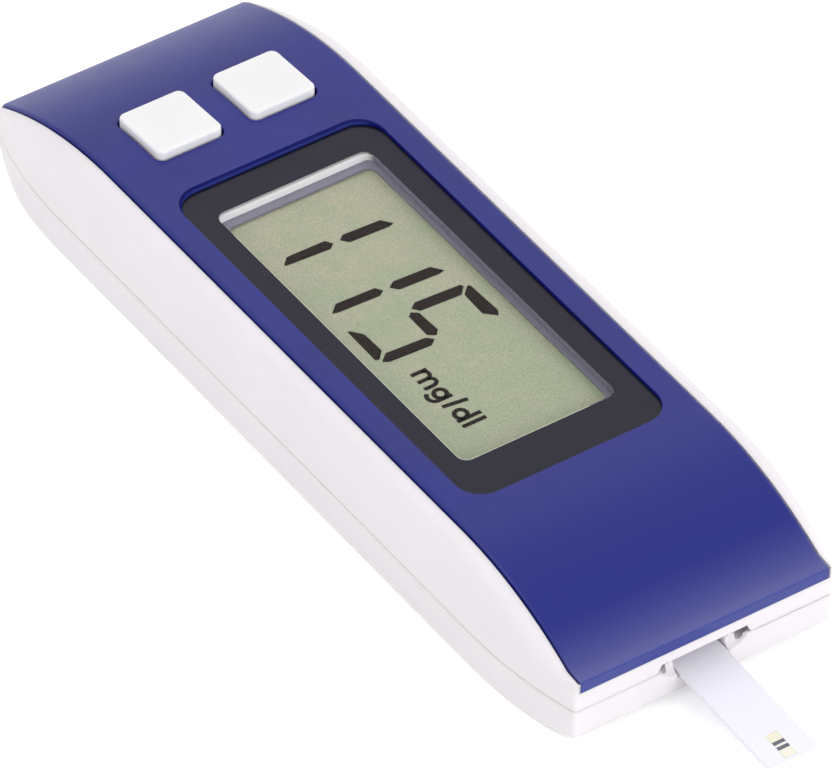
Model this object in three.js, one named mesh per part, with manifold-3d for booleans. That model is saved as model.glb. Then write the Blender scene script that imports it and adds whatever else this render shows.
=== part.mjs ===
import * as THREE from "three";
import { mergeVertices } from "three/addons/utils/BufferGeometryUtils.js";
import Module from "manifold-3d";

const wasm = await Module();
wasm.setup();

// A pocket blood glucose meter, in millimetres. X runs across it and Y along it, with the strip port
// at the -Y end and the keys at the +Y end. It lies on its flat underside at Z = 0.
const bodyLength = 105;
const bodyWidth = 36.4;
const bodyHeight = 13.6;
const partingShare = 0.342;
const partingGap = 0.03;

// Outer form of the two white shells.
const endTaperLength = 15;
const endTaperInset = 2.15;
const frontCornerRadius = 0.35;
const rearCornerRadius = 0.5;
const shoulderAspect = 1.1;
const bottomEdgeRadius = 0.5;
const chinLength = 8;
const chinRise = 0.8;
const tailLength = 9;
const tailRiseShare = 0.4045;
const sideWall = 1.6;
const endWall = 2;
const floorThickness = 1.5;
const tongueShare = 0.63;
const tongueThickness = 0.7;
const tongueFit = 0.15;

// The blue cover and the recess that it lies in.
const shoulderWidth = 2.7;
const coverThickness = 1.6;
const coverEdgeRadius = 0.35;
const thinnestRim = 0.2;
const frontArcLength = 20.8;
const frontDropShare = 0.361;
const frontToeLength = 1.7;
const rearArcLength = 20.6;
const rearDropShare = 0.385;
const lipDepth = 1.45;
const lipThickness = 1.3;
const coverStandProud = 0.3;
const coverFit = 0.22;
const coverSeatFit = 0.05;
const ledgeThickness = 1.2;
const ledgeInset = 4.5;
const ledgeEndWidth = 3.2;

// The display window, its lens and the tape under it.
const lensSideMargin = 3;
const lensFrontMargin = 23.4;
const lensRearMargin = 27.3;
const lensThickness = 0.25;
const lensRecess = 0.4;
const lensCornerRadius = 3;
const lensFit = 0.12;
const lensSeatWidth = 1.2;
const tapeThickness = 0.1;
const tapeFit = 0.15;
const borderSide = 2.65;
const borderEnd = 4.85;
const apertureShift = 0.6;
const apertureCornerRadius = 1;

// The liquid crystal display, from its glass down to the board.
const displayDepth = 1.9;
const glassSideMargin = 1.7;
const glassEndMargin = 3.15;
const glassCornerRadius = 0.4;
const frontGlassThickness = 1;
const rearGlassStep = 1.9;
const rearGlassThickness = 1.1;
const reflectorThickness = 0.15;
const glassFit = 0.15;
const frameSideMargin = 0.1;
const frameEndMargin = 0.65;
const frameCornerRadius = 1.6;
const frameNeckFit = 0.3;
const frameTopFit = 0.05;
const zebraWidth = 1.3;
const zebraEndMargin = 3;
const zebraMargin = 0.15;
const maskThickness = 0.3;
const maskFit = 0.15;
const maskSide = 0.5;
const maskEnd = 0.9;

// The circuit board and what is soldered to it.
const boardThickness = 1;
const boardSideMargin = 2.6;
const boardScrewMargin = 3.3;
const boardLedgeGap = 0.36;
const boardCornerRadius = 3;
const solderGap = 0.05;
const chipSize = 9;
const chipThicknessShare = 0.5;
const chipFromLens = 8;
const chipCornerRadius = 0.4;
const crystalLength = 5.6;
const crystalRadiusShare = 0.34;
const crystalFromChip = 9;
const buzzerRadius = 4.6;
const buzzerRimRadius = 4.2;
const buzzerThickness = 2;
const buzzerRimHeight = 0.3;
const buzzerHoleRadius = 0.8;
const buzzerLensGap = 1.3;

// The two keys and the tact switch under each.
const keySideMargin = 5.5;
const keyBetween = 3.7;
const keyCornerRadius = 0.9;
const keyEdgeRadius = 0.3;
const keyProud = 0.75;
const keyGap = 0.3;
const keyFromRear = 17.4;
const keyFlangeWidth = 0.8;
const keyFlangeThickness = 0.8;
const keyFlangeFit = 0.1;
const keyStemRadius = 1.6;
const switchSize = 6;
const switchHeightShare = 0.55;
const switchCornerRadius = 0.5;
const plungerRadius = 1.7;
const plungerRise = 0.55;
const plungerWellShare = 0.8;
const plungerFit = 0.2;
const plungerWellSpare = 0.6;
const stemGap = 0.2;

// The test strip and the channel that leads it in.
const stripLength = 30;
const stripWidth = 6.05;
const stripThickness = 0.4;
const stripInsertion = 14.6;
const stripPitch = THREE.MathUtils.degToRad(3.5);
const stripBelowParting = 1.21;
const stripCornerRadius = 0.5;
const stripFit = 0.2;
const portRise = 1.1;
const portTopHalf = 5.32;
const portBottomHalf = 5.85;
const cradleHalf = 4.3;
const cradleSetBack = 0.85;
const cradleLength = 3.2;
const cradleRise = 0.15;
const cradleChamfer = 0.55;
const scoopHalf = 5.5;
const scoopDepth = 1.3;
const scoopHeight = 1.9;
const scoopRise = 0.1;
const reliefWall = 0.4;
const reliefHalf = 6.4;
const reliefFloorGap = 2.4;

// The connector under the board that reads the strip.
const connectorWidth = 11.4;
const connectorCradleGap = 0.45;
const connectorLength = 13.2;
const connectorFloorGap = 0.5;
const connectorHeadroom = 0.75;
const connectorStopSpare = 0.5;
const connectorEarWidth = 1.2;
const connectorEarLength = 3;
const connectorEarHeight = 1.2;
const contactCount = 3;
const contactWidth = 0.6;
const contactPitch = 1.9;
const contactThickness = 0.2;
const contactSlotFit = 0.2;
const contactTipFromStop = 3.2;
const contactHeelFromStop = 0.9;
const contactTipTurn = 0.5;
const contactTipRise = 0.45;
const contactLift = 0.08;
const contactHeelShare = 0.42;

// The coin cell, its bay, contacts and door.
const cellCapInset = 1.1;
const cellCapRise = 0.25;
const cellEdgeRadius = 0.3;
const cellFit = 0.4;
const cellRearMargin = 14.2;
const bayWall = 1.1;
const bayRoofThickness = 0.7;
const bayRoofLip = 3.8;
const bayBoardGap = 0.85;
const bayRoofFit = 0.15;
const bayLedgeThickness = 0.9;
const bayLedgeMargin = 1.3;
const doorSideMargin = 0.55;
const doorScrewWall = 0.5;
const doorThickness = 1.2;
const doorFit = 0.15;
const doorFrontMargin = 2.2;
const doorRailWidth = 0.65;
const doorRailHeight = 0.55;
const doorEndHeight = 0.9;
const doorFrontClearance = 0.25;
const gripCount = 4;
const gripSpacing = 1.9;
const gripWidth = 0.8;
const gripDepth = 0.35;
const gripSideMargin = 4.55;
const gripFromDoorEnd = 5.6;
const springWidth = 4;
const springThickness = 0.25;
const springLift = 0.1;
const springPadShare = 0.8;
const springPadHalf = 1.6;
const springFootLength = 2.6;
const springSlotFit = 0.5;
const springTurn = 0.9;

// The four screws that close the case, and their posts.
const screwFromFront = 9;
const screwFromRear = 9.2;
const screwShankRadius = 0.8;
const screwHeadRadius = 1.65;
const screwHeadHeight = 1.2;
const screwHeadChamfer = 0.25;
const screwHeadDepth = 0.9;
const screwTipLength = 0.7;
const screwTipRadius = 0.3;
const screwCrossWidth = 0.45;
const screwCrossSpan = 2;
const screwCrossDepth = 0.6;
const screwHoleFit = 0.2;
const postRadius = 2.3;
const bossRadius = 2.1;
const postFit = 0.1;
const postWallGap = 0.5;
const bossRibHalf = 0.6;

// One overrun for every cut, and how finely round forms are divided.
const overrun = 2;
const cornerSteps = 4;
const arcSteps = 12;
const tailSteps = 8;
const shoulderSteps = 6;
const edgeSteps = 3;
const curveSegments = 5;
const roundSegments = 32;
const smallSegments = 20;

const rightAngle = Math.PI / 2;
const stripReach = stripLength * Math.cos(stripPitch) - stripInsertion;
const frontY = (stripReach - bodyLength) / 2;
const rearY = frontY + bodyLength;
const partingHeight = bodyHeight * partingShare;
const tailRise = bodyHeight * tailRiseShare;
const coverWidth = bodyWidth - 2 * shoulderWidth;
const coverUnderside = bodyHeight - coverThickness;

const arcRadius = (length, drop) => (length ** 2 + drop ** 2) / (2 * drop);
const frontArcRadius = arcRadius(frontArcLength - frontToeLength, bodyHeight * frontDropShare);
const rearArcRadius = arcRadius(rearArcLength, bodyHeight * rearDropShare);

const coverTop = (y) => {
  const front = Math.max(0, frontY + frontArcLength - Math.max(y, frontY + frontToeLength));
  const rear = Math.max(0, y - rearY + rearArcLength);
  const frontDrop = frontArcRadius - Math.sqrt(frontArcRadius ** 2 - front ** 2);
  const rearDrop = rearArcRadius - Math.sqrt(rearArcRadius ** 2 - rear ** 2);
  return bodyHeight - frontDrop - rearDrop;
};

const lensWidth = coverWidth - 2 * lensSideMargin;
const lensLength = bodyLength - lensFrontMargin - lensRearMargin;
const lensY = frontY + lensFrontMargin + lensLength / 2;
const lensBottom = bodyHeight - lensRecess - lensThickness;
const apertureWidth = lensWidth - 2 * borderSide;
const apertureLength = lensLength - 2 * borderEnd;
const apertureY = lensY + apertureShift;

const glassWidth = lensWidth - 2 * glassSideMargin;
const glassLength = lensLength - 2 * glassEndMargin;
const rearGlassWidth = glassWidth - 2 * rearGlassStep;
const zebraLength = glassLength - 2 * zebraEndMargin;
const displayTop = bodyHeight - displayDepth;
const displayBottom = displayTop - frontGlassThickness;
const rearGlassBottom = displayBottom - rearGlassThickness;
const boardFront = frontY + screwFromFront - boardScrewMargin;
const boardRear = rearY - screwFromRear + boardScrewMargin;
const boardTop =
  Math.min(coverTop(boardFront), coverTop(boardRear)) -
  coverThickness -
  coverSeatFit -
  ledgeThickness -
  boardLedgeGap;
const boardBottom = boardTop - boardThickness;
const displayRoom = rearGlassBottom - reflectorThickness - boardTop;

const keySize = (coverWidth - keyBetween) / 2 - keySideMargin;
const keySpacing = keySize + keyBetween;
const keyY = rearY - keyFromRear;
const stripPortHeight = partingHeight - stripBelowParting;
const portTop = partingHeight + portRise;

const screwX = bodyWidth / 2 - sideWall - postWallGap - postRadius;
const doorHalf =
  screwX - screwHeadRadius - screwHoleFit - doorScrewWall - doorFit - doorRailWidth;
const cellRadius = doorHalf - doorSideMargin;
const cellY = rearY - cellRearMargin - cellRadius;
const cellBottom = doorThickness + doorFit + bayRoofFit;
const bayCeiling = boardBottom - bayBoardGap - bayRoofThickness;
const cellTop = bayCeiling - bayRoofFit;

// Solids

const solidOf = (geometry) => {
  const bare = geometry.clone();
  bare.deleteAttribute("normal");
  bare.deleteAttribute("uv");
  const merged = mergeVertices(bare);
  return new wasm.Manifold(
    new wasm.Mesh({
      numProp: 3,
      vertProperties: merged.attributes.position.array,
      triVerts: new Uint32Array(merged.index.array),
    }),
  );
};

const geometryOf = (solid) => {
  const mesh = solid.getMesh();
  const geometry = new THREE.BufferGeometry();
  geometry.setAttribute("position", new THREE.BufferAttribute(mesh.vertProperties, mesh.numProp));
  geometry.setIndex(new THREE.BufferAttribute(mesh.triVerts, 1));
  geometry.computeVertexNormals();
  return geometry;
};

const join = (first, ...others) => others.reduce((whole, piece) => whole.add(piece), first);
const cut = (first, ...others) => others.reduce((whole, piece) => whole.subtract(piece), first);

const block = (x0, x1, y0, y1, z0, z1) =>
  solidOf(
    new THREE.BoxGeometry(x1 - x0, y1 - y0, z1 - z0).translate(
      (x0 + x1) / 2,
      (y0 + y1) / 2,
      (z0 + z1) / 2,
    ),
  );

const postBetween = (radius, z0, z1, x, y, segments = smallSegments) =>
  solidOf(
    new THREE.CylinderGeometry(radius, radius, z1 - z0, segments)
      .rotateX(rightAngle)
      .translate(x, y, (z0 + z1) / 2),
  );

const turned = (profile, x, y, segments = smallSegments) =>
  solidOf(
    new THREE.LatheGeometry(
      profile.map(([radius, z]) => new THREE.Vector2(radius, z)),
      segments,
    )
      .rotateX(rightAngle)
      .translate(x, y, 0),
  );

const roundedOutline = (width, length, radius) => {
  const x = width / 2;
  const y = length / 2;
  const shape = new THREE.Shape();
  shape.moveTo(x, radius - y);
  shape.lineTo(x, y - radius);
  shape.absarc(x - radius, y - radius, radius, 0, rightAngle);
  shape.lineTo(radius - x, y);
  shape.absarc(radius - x, y - radius, radius, rightAngle, Math.PI);
  shape.lineTo(-x, radius - y);
  shape.absarc(radius - x, radius - y, radius, Math.PI, Math.PI + rightAngle);
  shape.lineTo(x - radius, -y);
  shape.absarc(x - radius, radius - y, radius, -rightAngle, 0);
  return shape;
};

const plate = (shape, z0, z1, x = 0, y = 0) =>
  solidOf(
    new THREE.ExtrudeGeometry(shape, {
      depth: z1 - z0,
      bevelEnabled: false,
      curveSegments,
    }).translate(x, y, z0),
  );

// A profile of [y, z] points given a width across X.
const acrossX = (points, x0, x1) =>
  solidOf(
    new THREE.ExtrudeGeometry(new THREE.Shape(points.map(([y, z]) => new THREE.Vector2(y, z))), {
      depth: x1 - x0,
      bevelEnabled: false,
      curveSegments,
    })
      .rotateX(rightAngle)
      .rotateZ(rightAngle)
      .translate(x0, 0, 0),
  );

// A profile of [x, z] points given a length along Y.
const alongY = (points, y0, y1) =>
  solidOf(
    new THREE.ExtrudeGeometry(new THREE.Shape(points.map(([x, z]) => new THREE.Vector2(x, z))), {
      depth: y1 - y0,
      bevelEnabled: false,
      curveSegments,
    })
      .rotateX(rightAngle)
      .translate(0, y1, 0),
  );

// A closed skin through one ring of [x, z] points at each station along Y. Rings run anticlockwise
// when they are seen from the front.
const loft = (stations, ringAt) => {
  const rings = stations.map((y) => ringAt(y).map(([x, z]) => [x, y, z]));
  const count = rings[0].length;
  const positions = rings.flat(2);
  const index = [];
  for (let s = 0; s + 1 < rings.length; s += 1) {
    for (let p = 0; p < count; p += 1) {
      const a = s * count + p;
      const b = s * count + ((p + 1) % count);
      index.push(a, b + count, b, a, a + count, b + count);
    }
  }
  const caps = THREE.ShapeUtils.triangulateShape(
    rings[0].map(([x, , z]) => new THREE.Vector2(x, z)),
    [],
  );
  const endCaps = THREE.ShapeUtils.triangulateShape(
    rings.at(-1).map(([x, , z]) => new THREE.Vector2(x, z)),
    [],
  );
  const last = (rings.length - 1) * count;
  caps.forEach(([a, b, c]) => index.push(a, b, c));
  endCaps.forEach(([a, b, c]) => index.push(last + a, last + c, last + b));
  const geometry = new THREE.BufferGeometry();
  geometry.setAttribute("position", new THREE.Float32BufferAttribute(positions, 3));
  geometry.setIndex(index);
  return solidOf(geometry);
};

const mirrored = (rightHalf) => [
  ...rightHalf,
  ...rightHalf.toReversed().map(([x, z]) => [-x, z]),
];

// Outer form

const roundOff = (radius, distance) =>
  distance < radius ? radius - Math.sqrt(radius ** 2 - (radius - distance) ** 2) : 0;

const endShare = (y) =>
  Math.max(0, (frontY + endTaperLength - y) / endTaperLength, (y - rearY + endTaperLength) / endTaperLength);

const bodyHalf = (y) =>
  bodyWidth / 2 -
  endTaperInset * endShare(y) ** 2 -
  roundOff(frontCornerRadius, y - frontY) -
  roundOff(rearCornerRadius, rearY - y);

const coverHalf = (y) => Math.min(coverWidth / 2, bodyHalf(y) - coverFit - thinnestRim);

const lipBottom = (endY) => coverTop(endY) - lipDepth;

const coverSkin = (y) => coverTop(y) - roundOff(coverEdgeRadius, Math.min(y - frontY, rearY - y));

const underside = (y) => {
  const chin = Math.max(0, frontY + chinLength - y) / chinLength;
  const tail = Math.max(0, y - rearY + tailLength) / tailLength;
  return (
    chinRise * chin ** 2 +
    tailRise * (1 - Math.sqrt(Math.max(0, 1 - tail ** 2))) +
    roundOff(bottomEdgeRadius, y - frontY)
  );
};

const bodyRing = (y) => {
  const half = bodyHalf(y);
  const top = coverTop(y) - coverStandProud;
  const reach = half - coverHalf(y) - coverFit;
  const drop = reach * shoulderAspect;
  const right = [];
  for (let i = 0; i <= edgeSteps; i += 1) {
    const turn = (rightAngle * i) / edgeSteps;
    right.push([
      half - bottomEdgeRadius * (1 - Math.sin(turn)),
      underside(y) + bottomEdgeRadius * (1 - Math.cos(turn)),
    ]);
  }
  for (let i = 0; i <= shoulderSteps; i += 1) {
    const turn = (rightAngle * i) / shoulderSteps;
    right.push([half - reach * (1 - Math.cos(turn)), top - drop * (1 - Math.sin(turn))]);
  }
  return mirrored(right);
};

const stepsBetween = (from, to, steps) =>
  Array.from({ length: steps }, (_, i) => from + ((to - from) * i) / steps);

const stations = [
  ...Array.from({ length: cornerSteps }, (_, i) =>
    frontY + frontCornerRadius * (1 - Math.cos((rightAngle * i) / cornerSteps)),
  ),
  ...stepsBetween(frontY + frontCornerRadius, frontY + frontArcLength, arcSteps),
  ...stepsBetween(frontY + frontArcLength, rearY - rearArcLength, 1),
  ...stepsBetween(rearY - rearArcLength, rearY - tailLength, arcSteps - cornerSteps),
  ...Array.from({ length: tailSteps + 1 }, (_, i) =>
    rearY - tailLength * (1 - Math.sin((rightAngle * i) / tailSteps)),
  ),
];

const stationsWithin = (from, to) => [from, ...stations.filter((y) => y > from && y < to), to];

const openStations = (from, to) => [from - overrun, ...stationsWithin(from, to), to + overrun];

const bodySolid = loft(stations, bodyRing);

const wideBlock = (y0, y1, z0, z1) =>
  block(-bodyWidth / 2 - overrun, bodyWidth / 2 + overrun, y0, y1, z0, z1);

const innerRing = (bottomAt, topAt, inset) => (y) => {
  const half = bodyHalf(y) - inset;
  return mirrored([
    [half, bottomAt(y)],
    [half, topAt(y)],
  ]);
};

const innerStations = stationsWithin(frontY + endWall, rearY - endWall);

// Screw posts

const screwPlaces = [frontY + screwFromFront, rearY - screwFromRear].flatMap((y) => [
  [-screwX, y],
  [screwX, y],
]);

const bossTop =
  Math.min(...screwPlaces.flatMap(([, y]) => [coverTop(y - bossRadius), coverTop(y + bossRadius)])) -
  coverThickness -
  ledgeThickness / 2;

// Test strip frame: a group whose X axis is the strip's width and whose Y axis is its length.

const stripTopAt = (y) => stripPortHeight + (y - frontY) * Math.tan(stripPitch);

const pitchedBlock = (half, y0, y1, below, above) =>
  acrossX(
    [
      [y0, stripTopAt(y0) - below],
      [y1, stripTopAt(y1) - below],
      [y1, stripTopAt(y1) + above],
      [y0, stripTopAt(y0) + above],
    ],
    -half,
    half,
  );

// Top cover

const coverRing = (bottomAt) => (y) => {
  const half = coverHalf(y);
  const right = [[half, bottomAt(y)]];
  for (let i = 0; i <= edgeSteps; i += 1) {
    const turn = (rightAngle * i) / edgeSteps;
    right.push([
      half - coverEdgeRadius * (1 - Math.cos(turn)),
      coverSkin(y) - coverEdgeRadius * (1 - Math.sin(turn)),
    ]);
  }
  return mirrored(right);
};

const keyTilt = Math.asin(Math.max(0, keyY - rearY + rearArcLength) / rearArcRadius);

const keyPrism = (size, radius, z0, z1, x) =>
  solidOf(
    new THREE.ExtrudeGeometry(roundedOutline(size, size, radius), {
      depth: z1 - z0,
      bevelEnabled: false,
      curveSegments,
    })
      .translate(0, 0, z0)
      .rotateX(-keyTilt)
      .translate(x, keyY, coverTop(keyY)),
  );

const keyPlaces = [
  ["left", -keySpacing / 2],
  ["right", keySpacing / 2],
];

function topCover() {
  const shell = join(
    loft(stations, coverRing((y) => coverTop(y) - coverThickness)),
    loft(stationsWithin(frontY, frontY + lipThickness), coverRing(() => lipBottom(frontY))),
    loft(stationsWithin(rearY - lipThickness, rearY), coverRing(() => lipBottom(rearY))),
  );
  const pocket = plate(
    roundedOutline(lensWidth + 2 * lensFit, lensLength + 2 * lensFit, lensCornerRadius + lensFit),
    bodyHeight - lensRecess - lensThickness - tapeThickness,
    bodyHeight + overrun,
    0,
    lensY,
  );
  const window = plate(
    roundedOutline(
      lensWidth - 2 * lensSeatWidth,
      lensLength - 2 * lensSeatWidth,
      lensCornerRadius - lensSeatWidth,
    ),
    coverUnderside - overrun,
    bodyHeight + overrun,
    0,
    lensY,
  );
  const keyHoles = keyPlaces.map(([, x]) =>
    keyPrism(
      keySize + 2 * keyGap,
      keyCornerRadius + keyGap,
      -coverThickness - overrun,
      overrun,
      x,
    ),
  );
  return cut(shell, pocket, window, ...keyHoles);
}

// Upper housing

function upperHousing() {
  const upperHalf = cut(bodySolid, wideBlock(frontY - overrun, rearY + overrun, -overrun, partingHeight));
  const seat = (y) => coverTop(y) - coverThickness - coverSeatFit;
  const recessRing = (bottomAt) => (y) => {
    const within = THREE.MathUtils.clamp(y, frontY, rearY);
    const half = coverHalf(within) + coverFit;
    return mirrored([
      [half, bottomAt(within)],
      [half, bodyHeight + overrun],
    ]);
  };
  const recess = loft(openStations(frontY, rearY), recessRing(seat));
  const frontLipRecess = loft(
    openStations(frontY, frontY + lipThickness + coverFit).slice(0, -1),
    recessRing(() => lipBottom(frontY) - coverSeatFit),
  );
  const rearLipRecess = loft(
    openStations(rearY - lipThickness - coverFit, rearY).slice(1),
    recessRing(() => lipBottom(rearY) - coverSeatFit),
  );
  const cavity = loft(
    innerStations,
    innerRing(
      () => partingHeight - overrun,
      (y) => seat(y) - ledgeThickness,
      sideWall,
    ),
  );
  const mouthHalf = bodyWidth / 2 - ledgeInset;
  const mouth = block(
    -mouthHalf,
    mouthHalf,
    frontY + endWall + ledgeEndWidth,
    rearY - endWall - ledgeEndWidth,
    partingHeight,
    bodyHeight + overrun,
  );
  const port = alongY(
    [
      [-portBottomHalf, partingHeight - overrun],
      [portBottomHalf, partingHeight - overrun],
      [portBottomHalf, partingHeight],
      [portTopHalf, portTop],
      [-portTopHalf, portTop],
      [-portBottomHalf, partingHeight],
    ],
    frontY - overrun,
    frontY + endWall + overrun,
  );
  const portRelief = block(
    -reliefHalf,
    reliefHalf,
    frontY + reliefWall,
    frontY + endWall + overrun,
    partingHeight - overrun,
    portTop,
  );
  const openings = [cavity, mouth, port, portRelief];
  const shell = cut(upperHalf, recess, frontLipRecess, rearLipRecess, ...openings);
  const bosses = screwPlaces.map(([x, y]) => {
    const side = Math.sign(x);
    const wallX = side * (bodyHalf(y) - sideWall / 2);
    const rib = block(
      Math.min(x, wallX),
      Math.max(x, wallX),
      y - bossRibHalf,
      y + bossRibHalf,
      boardTop + postFit,
      bossTop,
    );
    return join(postBetween(bossRadius, boardTop + postFit, bossTop, x, y), rib);
  });
  const pilots = screwPlaces.map(([x, y]) =>
    postBetween(screwShankRadius + screwHoleFit, boardTop - overrun, bossTop, x, y),
  );
  return cut(join(shell, ...bosses), ...pilots);
}

// Lower housing

const tongueEnd = endWall + tongueFit;
const tongueRoom =
  Math.min(coverTop(frontY + tongueEnd), coverTop(rearY - tongueEnd)) -
  coverThickness -
  coverSeatFit -
  ledgeThickness -
  partingHeight;
const tongueHeight = tongueRoom * tongueShare;
const doorFront = cellY - cellRadius - doorFrontMargin;
const doorRear =
  rearY - tailLength * (1 - Math.sqrt(1 - (1 - doorEndHeight / tailRise) ** 2));
const bayLedgeTop = doorThickness + doorFit + bayLedgeThickness;

const doorRing = (fit) =>
  mirrored([
    [doorHalf + fit, -overrun],
    [doorHalf + fit, doorThickness - doorRailHeight - fit],
    [doorHalf + doorRailWidth + fit, doorThickness - doorRailHeight - fit],
    [doorHalf + doorRailWidth + fit, doorThickness + fit],
  ]);

function lowerHousing() {
  const rim = partingHeight - partingGap;
  const outside = cut(bodySolid, wideBlock(frontY - overrun, rearY + overrun, rim, bodyHeight + overrun));
  const cavity = loft(
    innerStations,
    innerRing(
      (y) => underside(y) + floorThickness,
      () => bodyHeight,
      sideWall,
    ),
  );
  const tongueInset = sideWall + tongueFit;
  const tongueStations = stationsWithin(frontY + tongueEnd, rearY - tongueEnd);
  const tongueRing = (inset) =>
    innerRing(
      () => rim - tongueHeight,
      () => partingHeight + tongueHeight,
      inset,
    );
  const tongue = cut(
    loft(tongueStations, tongueRing(tongueInset)),
    loft(
      stationsWithin(
        frontY + tongueEnd + tongueThickness,
        rearY - tongueEnd - tongueThickness,
      ),
      innerRing(
        () => rim - tongueHeight - overrun,
        () => partingHeight + tongueHeight + overrun,
        tongueInset + tongueThickness,
      ),
    ),
  );
  const web = cut(
    loft(
      tongueStations,
      innerRing(
        () => rim - tongueHeight,
        () => rim,
        sideWall - tongueFit,
      ),
    ),
    loft(
      stationsWithin(
        frontY + tongueEnd + tongueThickness,
        rearY - tongueEnd - tongueThickness,
      ),
      innerRing(
        () => -overrun,
        () => bodyHeight,
        tongueInset + tongueThickness,
      ),
    ),
  );
  const posts = screwPlaces.map(([x, y]) =>
    postBetween(postRadius, underside(y) + bottomEdgeRadius, boardBottom - postFit, x, y),
  );
  const bayWallOuter = cellRadius + cellFit + bayWall;
  const bayDrum = join(
    postBetween(
      bayWallOuter,
      bayLedgeTop - bayLedgeThickness,
      bayCeiling + bayRoofThickness,
      0,
      cellY,
      roundSegments,
    ),
    block(
      -doorHalf - doorRailWidth - bayLedgeMargin,
      doorHalf + doorRailWidth + bayLedgeMargin,
      doorFront - bayLedgeMargin,
      rearY - endWall,
      floorThickness / 2,
      bayLedgeTop,
    ),
  );
  const bayInside = postBetween(cellRadius + cellFit, -overrun, bayCeiling, 0, cellY, roundSegments);
  const bayHole = postBetween(cellRadius - bayRoofLip, 0, bodyHeight, 0, cellY, roundSegments);
  const springSlot = block(
    -springWidth / 2 - springSlotFit,
    springWidth / 2 + springSlotFit,
    cellY - bayWallOuter - overrun,
    cellY - cellRadius + springSlotFit,
    bayLedgeTop,
    bodyHeight,
  );
  const doorRecess = alongY(doorRing(doorFit), doorFront - doorFrontClearance, rearY + overrun);
  const cradleTop = partingHeight + cradleRise;
  const cradle = alongY(
    mirrored([
      [cradleHalf, floorThickness / 2],
      [cradleHalf, cradleTop - cradleChamfer],
      [cradleHalf - cradleChamfer, cradleTop],
      [stripWidth / 2 + stripFit, cradleTop - cradleChamfer],
    ]),
    frontY + cradleSetBack,
    frontY + cradleSetBack + cradleLength,
  );
  const cradleClearance = block(
    -cradleHalf - portTopHalf / 2,
    cradleHalf + portTopHalf / 2,
    frontY + endWall,
    frontY + cradleSetBack + cradleLength,
    rim,
    bodyHeight,
  );
  const scoop = solidOf(
    new THREE.SphereGeometry(1, smallSegments, smallSegments / 2)
      .scale(scoopHalf, scoopDepth, scoopHeight)
      .translate(0, frontY, partingHeight + scoopRise),
  );
  const relief = [-reliefHalf, cradleHalf].map((x) =>
    block(
      x,
      x + reliefHalf - cradleHalf,
      frontY + reliefWall,
      frontY + endWall + overrun,
      floorThickness + reliefFloorGap,
      bodyHeight,
    ),
  );
  const channel = pitchedBlock(
    stripWidth / 2 + stripFit,
    frontY - overrun,
    frontY + cradleSetBack + cradleLength + overrun,
    stripThickness + stripFit,
    bodyHeight,
  );
  const headSeat = screwHeadDepth + screwHeadHeight + screwHoleFit;
  const screwHoles = screwPlaces.flatMap(([x, y]) => [
    postBetween(screwShankRadius + screwHoleFit, -overrun, boardTop, x, y),
    postBetween(screwHeadRadius + screwHoleFit, -overrun, headSeat, x, y),
  ]);
  const shell = join(cut(outside, cavity), web, tongue, ...posts, bayDrum.intersect(bodySolid));
  const bayCuts = [bayInside, bayHole, springSlot, doorRecess];
  const opened = cut(shell, cradleClearance, scoop, ...relief, ...bayCuts, ...screwHoles);
  return cut(join(opened, cradle), channel);
}

// Battery door

function batteryDoor() {
  const blank = alongY(doorRing(0), doorFront, doorRear).intersect(bodySolid);
  const gripHalf = doorHalf - gripSideMargin;
  const grips = Array.from({ length: gripCount }, (_, i) => {
    const y = doorRear - gripFromDoorEnd - i * gripSpacing;
    return block(-gripHalf, gripHalf, y - gripWidth / 2, y + gripWidth / 2, -overrun, gripDepth);
  });
  return cut(blank, ...grips);
}

// Display

const frameNeckWidth = lensWidth - 2 * lensSeatWidth - 2 * frameNeckFit;
const frameNeckLength = lensLength - 2 * lensSeatWidth - 2 * frameNeckFit;
const lensOutline = roundedOutline(lensWidth, lensLength, lensCornerRadius);

function displayLens() {
  return plate(lensOutline, lensBottom, bodyHeight - lensRecess, 0, lensY);
}

function lensTape() {
  const ring = roundedOutline(
    lensWidth - 2 * tapeFit,
    lensLength - 2 * tapeFit,
    lensCornerRadius - tapeFit,
  );
  ring.holes.push(
    roundedOutline(
      lensWidth - 2 * lensSeatWidth,
      lensLength - 2 * lensSeatWidth,
      lensCornerRadius - lensSeatWidth,
    ),
  );
  return plate(ring, lensBottom - tapeThickness, lensBottom, 0, lensY);
}

function displayFrame() {
  const body = plate(
    roundedOutline(
      lensWidth - 2 * frameSideMargin,
      lensLength - 2 * frameEndMargin,
      frameCornerRadius,
    ),
    boardTop + solderGap,
    coverUnderside - frameTopFit,
    0,
    lensY,
  );
  const neck = plate(
    roundedOutline(frameNeckWidth, frameNeckLength, frameCornerRadius),
    boardTop + solderGap,
    lensBottom - frameTopFit,
    0,
    lensY,
  );
  const aperture = plate(
    roundedOutline(apertureWidth, apertureLength, apertureCornerRadius),
    0,
    bodyHeight,
    0,
    apertureY,
  );
  const glassPocket = plate(
    roundedOutline(glassWidth + 2 * glassFit, glassLength + 2 * glassFit, glassCornerRadius),
    0,
    displayTop + solderGap,
    0,
    apertureY,
  );
  return cut(join(body, neck), aperture, glassPocket);
}

function displayMask() {
  const width = apertureWidth - 2 * maskFit;
  const length = apertureLength - 2 * maskFit;
  const ring = roundedOutline(width, length, apertureCornerRadius);
  ring.holes.push(
    roundedOutline(width - 2 * maskSide, length - 2 * maskEnd, apertureCornerRadius),
  );
  return plate(ring, displayTop + solderGap, displayTop + solderGap + maskThickness, 0, apertureY);
}

const displayLayer = (width, length, z0, z1) =>
  plate(roundedOutline(width, length, glassCornerRadius), z0, z1, 0, apertureY);

// Electronics

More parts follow.
